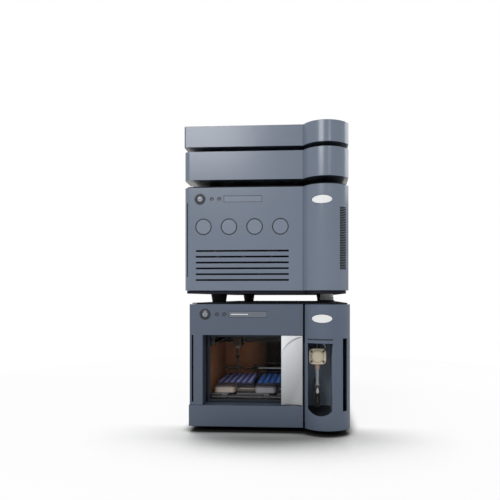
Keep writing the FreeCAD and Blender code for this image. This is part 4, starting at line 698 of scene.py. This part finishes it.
def power_sign(bm, where, radius, width, lift, dome):
    """A broken ring and a stroke, laid on the button's dome."""
    gap = math.radians(38)
    steps = 28
    rows = []
    for i in range(steps + 1):
        a = math.pi / 2 + gap + (2 * math.pi - 2 * gap) * i / steps
        rows.append([(math.cos(a) * r, math.sin(a) * r) for r in (radius - width / 2, radius + width / 2)])
    bar = [[(-width / 2, radius * s), (width / 2, radius * s)] for s in (0.25, 0.55, 0.85, 1.15)]
    for strip in (rows, bar):
        fronts, backs = [], []
        for pair in strip:
            line_front, line_back = [], []
            for u, v in pair:
                sag = dome - math.sqrt(dome * dome - u * u - v * v)
                line_front.append(bm.verts.new((where.x + u, where.y + sag - lift, where.z + v)))
                line_back.append(bm.verts.new((where.x + u, where.y + sag + lift, where.z + v)))
            fronts.append(line_front)
            backs.append(line_back)
        for i in range(len(strip) - 1):
            f0, f1, b0, b1 = fronts[i], fronts[i + 1], backs[i], backs[i + 1]
            bm.faces.new((f0[0], f1[0], f1[1], f0[1]))
            bm.faces.new((b0[0], b0[1], b1[1], b1[0]))
            bm.faces.new((f0[0], b0[0], b1[0], f1[0]))
            bm.faces.new((f0[1], f1[1], b1[1], b0[1]))
        for f, b in ((fronts[0], backs[0]), (fronts[-1], backs[-1])):
            bm.faces.new((f[0], f[1], b[1], b[0]))


class STACK_OT_screws(StackOperator):
    """Cross-recessed screws along the edges of the side and rear panels, and round the fans"""

    bl_idname = "stack.screws"
    bl_label = "Case screws"

    def execute(self, context):
        trim = context.scene.trim_sizes
        zinc = steel("screw_zinc", (0.42, 0.42, 0.43), 0.3, (1.0, 1.0, 1.0))
        plan = screw_plan("case_screws", zinc.material)
        inset, front_inset, sink = 9.0 * MM, 14.0 * MM, 0.2 * MM
        fan_reach = 43.0 * MM
        post_low, post_high = 0.36, 0.64
        for module, panels in (("sampler", ("sampler_side_panels", "sampler_rear_panel")),
                               ("pump", ("pump_side_panels", "pump_rear_panel"))):
            lo, hi = low(panels[0]), high(panels[0])
            rows = [((lo.y + front_inset, z), (hi.y - inset, z)) for z in (lo.z + inset, hi.z - inset)]
            for side, x, turn in (("left", lo.x + sink, -math.pi / 2), ("right", hi.x - sink, math.pi / 2)):
                lines = [((x, a[0], a[1]), (x, b[0], b[1])) for a, b in rows]
                self.lay(plan, module + "_screws_" + side, lines, (0.0, turn, 0.0), zinc, trim)
            lo, hi = low(panels[1]), high(panels[1])
            y = hi.y - sink
            lines = [((lo.x + inset, y, z), (hi.x - inset, y, z)) for z in (lo.z + inset, hi.z - inset)]
            tall = hi.z - lo.z
            for x in (lo.x + inset, hi.x - inset):
                lines.append(((x, y, lo.z + post_low * tall), (x, y, lo.z + post_high * tall)))
            hub = centre(module + "_fan_rotor")
            for x in (hub.x - fan_reach, hub.x + fan_reach):
                lines.append(((x, y, hub.z - fan_reach), (x, y, hub.z + fan_reach)))
            self.lay(plan, module + "_screws_rear", lines, (-math.pi / 2, 0.0, 0.0), zinc, trim)
        return {"FINISHED"}

    def lay(self, plan, name, lines, turn, finish, trim):
        points = [p for line in lines for p in line]
        edges = [(2 * i, 2 * i + 1) for i in range(len(lines))]
        values = {"Head radius": trim.screw_radius, "Pitch": trim.screw_pitch, "Turn": turn}
        adopt(name, plan.grown(points, edges, name, values), finish, "stack", 40)


class STACK_OT_controls(StackOperator):
    """Power buttons with their rings and signs, lamps, display windows and blank badges"""

    bl_idname = "stack.controls"
    bl_label = "Controls and badges"

    def execute(self, context):
        c, trim = context.scene.stack_colours, context.scene.trim_sizes
        ring = plastic("button_ring", (0.018, 0.022, 0.032), 0.28)
        sign = plastic("button_sign", (0.62, 0.65, 0.70), 0.35)
        rim, sign_width, sign_lift, dome = 5.4 * MM, 0.8 * MM, 0.06 * MM, 30.0 * MM
        for module, cap, body, button_body in (
            ("sampler", (0.16, 0.17, 0.20), "stack", "sampler_power_button"),
            ("pump", (0.16, 0.18, 0.22), "pump_front", "pump_power_button"),
        ):
            button = module + "_button"
            where = centre(button)
            face = plastic(button + "_cap", cap, 0.3)
            face.shade(face.away_from(where.x, where.z).ramp(rim, rim + 0.6 * MM) * 0.9)
            dress(face, button)
            where.y = FLAT_FRONT
            spot = Vector((where.x, low(button).y, where.z))
            inner, outer, deep, stand = 8.95 * MM, 11.4 * MM, 1.45 * MM, 0.55 * MM
            profile = [
                (inner, deep), (inner, -stand * 0.4), (inner + 0.35 * MM, -stand), (outer - 0.6 * MM, -stand),
                (outer, -stand * 0.2), (outer, deep),
            ]
            finished(button + "_ring", lambda bm: lathe(bm, profile, where), ring, body, 35)
            finished(
                button + "_sign",
                lambda bm: power_sign(bm, spot, trim.sign_radius, sign_width, sign_lift, dome),
                sign, button_body,
            )
        lens = Finish("lamp_lens")
        lens.set(Base_Color=lens.tint((0.055, 0.065, 0.085), 0.1, lens.noise(0.002)), Roughness=0.25)
        dress(lens, "sampler_lamps", "pump_lamps")
        for module, body in (("sampler", "stack"), ("pump", "pump_front")):
            lo, hi = low(module + "_lamps"), high(module + "_lamps")
            flange = (hi.z - lo.z) / 2
            inner, outer = flange - 1.15 * MM, flange + 0.35 * MM
            profile = [(inner, 0.3 * MM), (inner, -0.3 * MM), (outer - 0.3 * MM, -0.45 * MM), (outer, 0.3 * MM)]

            def bezels(bm):
                for x in (lo.x + flange, hi.x - flange):
                    lathe(bm, profile, (x, FLAT_FRONT, lo.z + flange), steps=32)

            finished(module + "_lamp_bezels", bezels, ring, body, 35)
        for node, inside in (("pump_display", c.upper_paint), ("sampler_display", (0.135, 0.155, 0.19))):
            dress(window_finish(node, [v * 1.06 for v in inside], trim.outline), node)
        badge = Finish("badge_enamel")
        badge.set(Base_Color=badge.tint(c.badge, 0.02, badge.noise(0.01)), Roughness=0.16, Coat_Weight=0.6)
        badge.bump(badge.noise(0.004), 0.02, 0.00005, 0.0006)
        dress(badge, "pump_badge", "sampler_badge")
        return {"FINISHED"}


def window_finish(node, base, outline):
    """A flush display window with a dark line round it; the sampler's shows a pale status line."""
    f = Finish(node + "_window")
    lo, hi = low(node), high(node)
    middle = (lo + hi) / 2
    half = (hi - lo) / 2
    side = abs(f.x - middle.x) - (half.x - outline)
    rise = abs(f.z - middle.z) - (half.z - outline)
    edge = side.most(rise).ramp(0.0, 0.15 * MM)
    shade = f.tint(base, 0.05, f.noise(0.01))
    f.set(Base_Color=f.blend(edge, shade, (0.035, 0.042, 0.06)), Roughness=0.2 + 0.2 * edge)
    if node == "sampler_display":
        line_half, line_inset = 0.9 * MM, 4.0 * MM
        line = (abs(f.z - middle.z) < line_half) * (f.x > lo.x + line_inset) * (f.x < middle.x)
        f.shade(line, (0.80, 0.82, 0.84))
    return f


class STACK_OT_door(StackOperator):
    """Sampler door: frame, clear pane and silver grip"""

    bl_idname = "stack.door"
    bl_label = "Sampler door"

    def execute(self, context):
        c = context.scene.stack_colours
        # Painted shade: the door frame takes the sampler paint darkened to about a quarter, for the shade in the
        # window's reveal
        frame_paint = paint("door_frame_paint_shaded", [v * 0.26 for v in c.sampler_paint], 0.5)
        frame_paint.set(Specular_IOR_Level=0.2)
        dress(frame_paint, "door_frame")
        pane = Finish("clear_pane")
        pane.set(Base_Color=(0.93, 0.95, 0.97), Roughness=0.015, IOR=1.45, Transmission_Weight=1.0)
        pane.set(Alpha=0.06, Specular_IOR_Level=0.3)
        dress(pane, "door_pane")
        grip = Finish("silver_grip")
        flecks = grip.noise(0.0006, 2.0)
        lo, hi = low("door_handle"), high("door_handle")
        # Painted reflection: the silver is lighter towards the top, along a slant, and darker at the foot, most at its
        # left
        slant, foot_drop, head_drop = 2.2, 30.0 * MM, 24.0 * MM
        lean = grip.z - slant * (grip.x - lo.x)
        height = lean.ramp(lo.z - foot_drop, hi.z - head_drop)
        foot = grip.blend(grip.x.ramp(lo.x, hi.x), [v * 0.30 for v in c.silver], [v * 0.62 for v in c.silver])
        painted_reflection = grip.blend(height, foot, [min(1.0, v * 1.22) for v in c.silver])
        grip.set(Base_Color=painted_reflection, Metallic=0.75, Roughness=0.27 + 0.06 * flecks)
        grip.set(Coat_Weight=0.2, Coat_Roughness=0.15)
        grip.bump(flecks, 0.05, 0.00005, 0.0008)
        dress(grip, "door_handle")
        return {"FINISHED"}


class STACK_OT_chamber(StackOperator):
    """Sample chamber: coppery walls, smoked shelf front, carriers, plates and latches"""

    bl_idname = "stack.chamber"
    bl_label = "Sample chamber"

    def execute(self, context):
        c = context.scene.stack_colours
        self.dress_walls(c)
        self.dress_shelf()
        self.dress_carriers(c)
        self.dress_plates(c)
        self.dress_latches()
        dress(plastic("wash_olive", (0.11, 0.095, 0.045), 0.45), "wash_station")
        return {"FINISHED"}

    def dress_walls(self, c):
        """Coppery walls with painted shade to the right, under the roof and towards the front, and darker at the floor
        """
        wall = Finish("chamber_wall")
        lo, hi = low("chamber_liner"), high("chamber_liner")
        # Painted shade: darker to the right, under the roof and towards the front; darker at the floor too
        right = wall.x.ramp(lo.x + 70.0 * MM, lo.x + 112.0 * MM)
        roof_shade = wall.z.ramp(hi.z - 34.0 * MM, hi.z - 12.0 * MM)
        floor = 1 - wall.z.ramp(64.0 * MM, 70.0 * MM)
        base = wall.tint(c.copper, 0.30, wall.noise(0.05, 3.0))
        front_shade = 1 - wall.y.ramp(lo.y + 10.0 * MM, lo.y + 120.0 * MM)
        wall.set(Base_Color=base, Roughness=0.5, Specular_IOR_Level=0.06)
        wall.shade(right.most(roof_shade).most(floor).most(front_shade * 0.25) * 0.98, (0.004, 0.0035, 0.004))
        wall.bump(wall.noise(0.002), 0.05, 0.0001)
        dress(wall, "chamber_liner")

    def dress_shelf(self):
        """Smoked front with two painted highlights along its top and bottom edges"""
        shelf = plastic("shelf_smoke", (0.052, 0.052, 0.056), 0.16)
        lo, hi = low("carrier_shelf"), high("carrier_shelf")
        # Painted highlights along the top and bottom edges of the shelf front
        upper_edge_highlight = abs(shelf.z - (hi.z - 1.2 * MM)) < 0.6 * MM
        lower_edge_highlight = abs(shelf.z - (lo.z + 2.0 * MM)) < 0.8 * MM
        front = shelf.y < lo.y + 2.0 * MM
        shelf.shade(upper_edge_highlight.most(lower_edge_highlight) * front, (0.24, 0.245, 0.25))
        dress(shelf, "carrier_shelf")

    def dress_carriers(self, c):
        """Pale carriers, painted lighter and warmer on the left and cooler on the right, with painted shade on top and
        behind the front of the plates
        """
        # Painted light: each carrier's grey is lifted by its own tint, warm and light on the left, cool on the right
        for side, lit_tint in (("left", (1.80, 1.62, 1.48)), ("right", (1.14, 1.18, 1.30))):
            tray = plastic("carrier_grey_" + side, [a * b for a, b in zip(c.carrier, lit_tint)], 0.38)
            top = high("carrier_" + side).z
            # Painted shade on top of the carrier and behind the front of the plates
            tray.shade(tray.z.ramp(top - 4.2 * MM, top - 3.2 * MM) * 0.85, (0.030, 0.028, 0.030))
            plate_front = low("plate_left").y
            tray.shade(tray.y.ramp(plate_front - 1.0 * MM, plate_front) * 0.95, (0.006, 0.006, 0.008))
            tray.set(Specular_IOR_Level=0.2)
            dress(tray, "carrier_" + side)

    def dress_plates(self, c):
        """Blue plates with a painted highlight along each row and painted shade between rows, and painted shade below
        the top
        """
        row_pitch = 13.5 * MM
        # Painted light: the left plate's row highlight is paler and warmer than the right one's
        for side, light in (("left", (0.46, 0.42, 0.80)), ("right", (0.09, 0.28, 0.95))):
            plate = plastic("plate_blue_" + side, c.plate, 0.30)
            lo, hi = low("plate_" + side), high("plate_" + side)
            rows = ((plate.x - lo.x) / row_pitch).part()
            between_rows_shade = abs(rows - 0.5).ramp(0.18, 0.30)
            plate.set(Base_Color=plate.blend(between_rows_shade, light, [v * 0.34 for v in c.plate]))
            # Painted shade on the plate's sides below the top
            plate.shade(1 - plate.z.ramp(hi.z - 2.2 * MM, hi.z - 1.0 * MM), (0.003, 0.004, 0.010))
            plate.set(Specular_IOR_Level=0.25)
            dress(plate, "plate_" + side)

    def dress_latches(self):
        """Round latches with a dark middle"""
        latch = plastic("latch_grey", (0.17, 0.17, 0.18), 0.35)
        lo, hi = low("shelf_latches"), high("shelf_latches")
        radius = (hi.z - lo.z) / 2
        inner = latch.away_from(lo.x + radius, lo.z + radius).least(latch.away_from(hi.x - radius, lo.z + radius))
        latch.shade((inner < radius * 0.55) * 0.85)
        dress(latch, "shelf_latches")


class STACK_OT_drives(StackOperator):
    """Guide rods, gantry, needle, fans, inlets, pumps and feet"""

    bl_idname = "stack.drives"
    bl_label = "Drives and feet"

    def execute(self, context):
        dress(steel("pin_steel", (0.20, 0.18, 0.16), 0.34, (1.0, 0.06, 1.0)), "hinge_pins")
        rods = steel("ground_steel", (0.045, 0.040, 0.036), 0.4, (1.0, 0.06, 1.0))
        # Painted reflection: the rods are dark, with a bright silver sheen low down on the right and the brown of the
        # coppery walls low down on the left
        bar_top, sheen_from, copper_reflection_to = 104.0 * MM, -45.0 * MM, -60.0 * MM
        rods.shade((rods.z < bar_top) * rods.x.ramp(sheen_from, sheen_from + 5.0 * MM), (0.72, 0.74, 0.78))
        rods.shade((rods.z < bar_top) * (rods.x < copper_reflection_to), (0.20, 0.15, 0.12))
        dress(rods, "guide_rods")
        # Painted shade: the pump heads are steel darkened to about a tenth, for the shade behind the louvres
        dress(steel("turned_steel", (0.10, 0.10, 0.11), 0.45, (1.0, 0.1, 1.0)), "pump_heads")
        dress(plastic("beam_black", (0.014, 0.012, 0.012), 0.4, specular=0.2), "gantry_beam")
        dress(plastic("carriage_tan", (0.075, 0.050, 0.034), 0.45, specular=0.2), "needle_carriage")
        dress(steel("needle_steel", (0.035, 0.028, 0.022), 0.45), "needle")
        self.thread_bead()
        dark = plastic("fan_black", (0.016, 0.017, 0.020), 0.45)
        dress(dark, "fan_frames", "sampler_fan_rotor", "pump_fan_rotor", "power_inlets")
        rubber = plastic("foot_rubber", (0.012, 0.012, 0.013), 0.75, 0.0012, 0.25, 0.3)
        dress(rubber, "sampler_feet", "stacking_feet")
        collar = plastic("collar_grey", (0.86, 0.87, 0.89), 0.4)
        dress(collar, "levelling_collar")
        lo, hi = low("levelling_collar"), high("levelling_collar")
        knurl = knurl_plan("knurl", collar.material)
        band_height, rib_height, rib_stand = 3.5 * MM, 5.0 * MM, 0.2 * MM
        middle = Vector(((lo.x + hi.x) / 2, (lo.y + hi.y) / 2, lo.z + band_height))
        values = {"Radius": (hi.x - lo.x) / 2 + rib_stand, "Height": rib_height}
        mesh = knurl.grown([middle], [], "knurl", values)
        adopt("collar_knurl", mesh, collar, "stack")
        self.line_comb()
        return {"FINISHED"}

    def thread_bead(self):
        """A pale guide bead under the carriage, with the needle running through its bore"""
        lo, hi = low("needle"), high("needle")
        pale = plastic("bead_pale", (0.50, 0.40, 0.33), 0.35)
        drop, bore, outer, tall, top, lip = 3.0 * MM, 4.4 * MM, 5.8 * MM, 4.6 * MM, 3.2 * MM, 0.1 * MM
        where = ((lo.x + hi.x) / 2, (lo.y + hi.y) / 2, low("needle_carriage").z - drop)
        turns = [math.radians(a) for a in range(-39, 40, 13)]
        profile = [(outer * math.cos(a), tall * math.sin(a)) for a in turns]
        profile += [(bore + lip, top), (bore, top), (bore, tall * math.sin(turns[0]))]
        finished("needle_bead", lambda bm: lathe(bm, profile, where, "Z", 28), pale, "carriage", 50)

    def line_comb(self):
        """A dark sheet behind the comb vent of the pump's door, standing in for the shade in its slots"""
        lo, hi = low("pump_door"), high("pump_door")
        vent_shade_black = plastic("vent_shade_sheet_black", (0.006, 0.008, 0.014), 0.8, 0.0016, 0.4, 0.1)
        first = (hi.x - 21.5 * MM, FLAT_FRONT + 1.2 * MM, lo.z + 38.0 * MM)
        last = (hi.x - 2.8 * MM, FLAT_FRONT + 2.0 * MM, hi.z - 41.0 * MM)
        # A dark thing put in the vent's slots as painted shade
        finished(
            "comb_shade_sheet", lambda bm: soft_block(bm, first, last, 0.2 * MM, 1), vent_shade_black, "pump_front",
        )


class STACK_OT_fluidics(StackOperator):
    """Syringe recess: valve head, collar, glass syringe, plunger, driver and tubing"""

    bl_idname = "stack.fluidics"
    bl_label = "Syringe recess"

    def execute(self, context):
        c = context.scene.stack_colours
        back = paint("recess_paint_lit", c.recess, 0.5)
        # Painted shade under the recess roof; the recess colour itself is lightened to stand in for light that doesn't
        # reach inside
        roof_shade = back.z.ramp(176.0 * MM, 190.0 * MM)
        back.shade(roof_shade * 0.8)
        dress(back, "fluidics_panel")
        dress(plastic("cup_black", (0.016, 0.018, 0.024), 0.4), "drip_cup", "syringe_bracket", "tube_nuts")
        valve = plastic("valve_beige", c.valve, 0.42, 0.001, 0.15)
        lo, hi = low("valve_body"), high("valve_body")
        middle = (lo + hi) / 2
        groove_radius, groove_half = 12.3 * MM, 0.6 * MM
        groove = abs(valve.away_from(middle.x, middle.z) - groove_radius) < groove_half
        valve.shade(groove * 0.6, (0.10, 0.07, 0.045))
        dress(valve, "valve_body")
        dress(plastic("screw_brown", (0.080, 0.055, 0.035), 0.4), "valve_screws")
        dress(plastic("collar_pink", (0.42, 0.29, 0.25), 0.4), "syringe_collar")
        glass = Finish("syringe_glass")
        glass.set(Base_Color=(0.72, 0.76, 0.78), Roughness=0.12, IOR=1.47, Transmission_Weight=0.35, Alpha=0.62)
        dress(glass, "syringe_barrel")
        ink = plastic("mark_ink", (0.05, 0.055, 0.065), 0.5)
        lo, hi = low("syringe_barrel"), high("syringe_barrel")
        pitch, margin = context.scene.trim_sizes.mark_pitch, 5.0 * MM
        foot = Vector(((lo.x + hi.x) / 2, (lo.y + hi.y) / 2, lo.z + margin))
        marks = marks_plan("syringe_marks", ink.material)
        values = {"Radius": (hi.x - lo.x) / 2, "Pitch": pitch, "Marks": int((hi.z - lo.z - 2 * margin) / pitch) + 1}
        adopt("syringe_marks", marks.grown([foot], [], "syringe_marks", values), ink, "stack", 40)
        plunger = Finish("plunger")
        head_top = low("syringe_plunger").z + 18.5 * MM
        pale = plunger.z.ramp(head_top, head_top + 1.0 * MM)
        plunger.set(Base_Color=plunger.blend(pale, (0.012, 0.012, 0.014), (0.75, 0.74, 0.70)), Roughness=0.35)
        dress(plunger, "syringe_plunger")
        tube = Finish("tubing")
        tube.set(Base_Color=(0.70, 0.68, 0.62), Roughness=0.2, Transmission_Weight=0.3)
        dress(tube, "loop_tube")
        return {"FINISHED"}


class STACK_PT_panel(bpy.types.Panel):
    """Lists the steps that dress the stack"""

    bl_label = "Chromatography stack"
    bl_idname = "STACK_PT_panel"
    bl_space_type = "VIEW_3D"
    bl_region_type = "UI"
    bl_category = "Chromatography"

    def draw(self, context):
        for step in STEPS:
            self.layout.operator(step.bl_idname)
        for group in GROUPS:
            shown = getattr(context.scene, group)
            for key in shown.bl_rna.properties.keys():
                if key not in ("rna_type", "name"):
                    self.layout.prop(shown, key)


STEPS = (
    STACK_OT_stage, STACK_OT_covers, STACK_OT_screws, STACK_OT_controls, STACK_OT_door, STACK_OT_chamber,
    STACK_OT_drives, STACK_OT_fluidics,
)
GROUPS = {"stack_colours": StackColours, "trim_sizes": TrimSizes, "studio_settings": StudioSettings}


def register():
    for group in GROUPS.values():
        bpy.utils.register_class(group)
    for step in STEPS:
        bpy.utils.register_class(step)
    bpy.utils.register_class(STACK_PT_panel)
    for key, group in GROUPS.items():
        setattr(bpy.types.Scene, key, bpy.props.PointerProperty(type=group))


def unregister():
    for key in GROUPS:
        delattr(bpy.types.Scene, key)
    bpy.utils.unregister_class(STACK_PT_panel)
    for step in reversed(STEPS):
        bpy.utils.unregister_class(step)
    for group in GROUPS.values():
        bpy.utils.unregister_class(group)


def main():
    register()
    for step in STEPS:
        group, name = step.bl_idname.split(".")
        getattr(getattr(bpy.ops, group), name)()


if __name__ == "__main__":
    main()
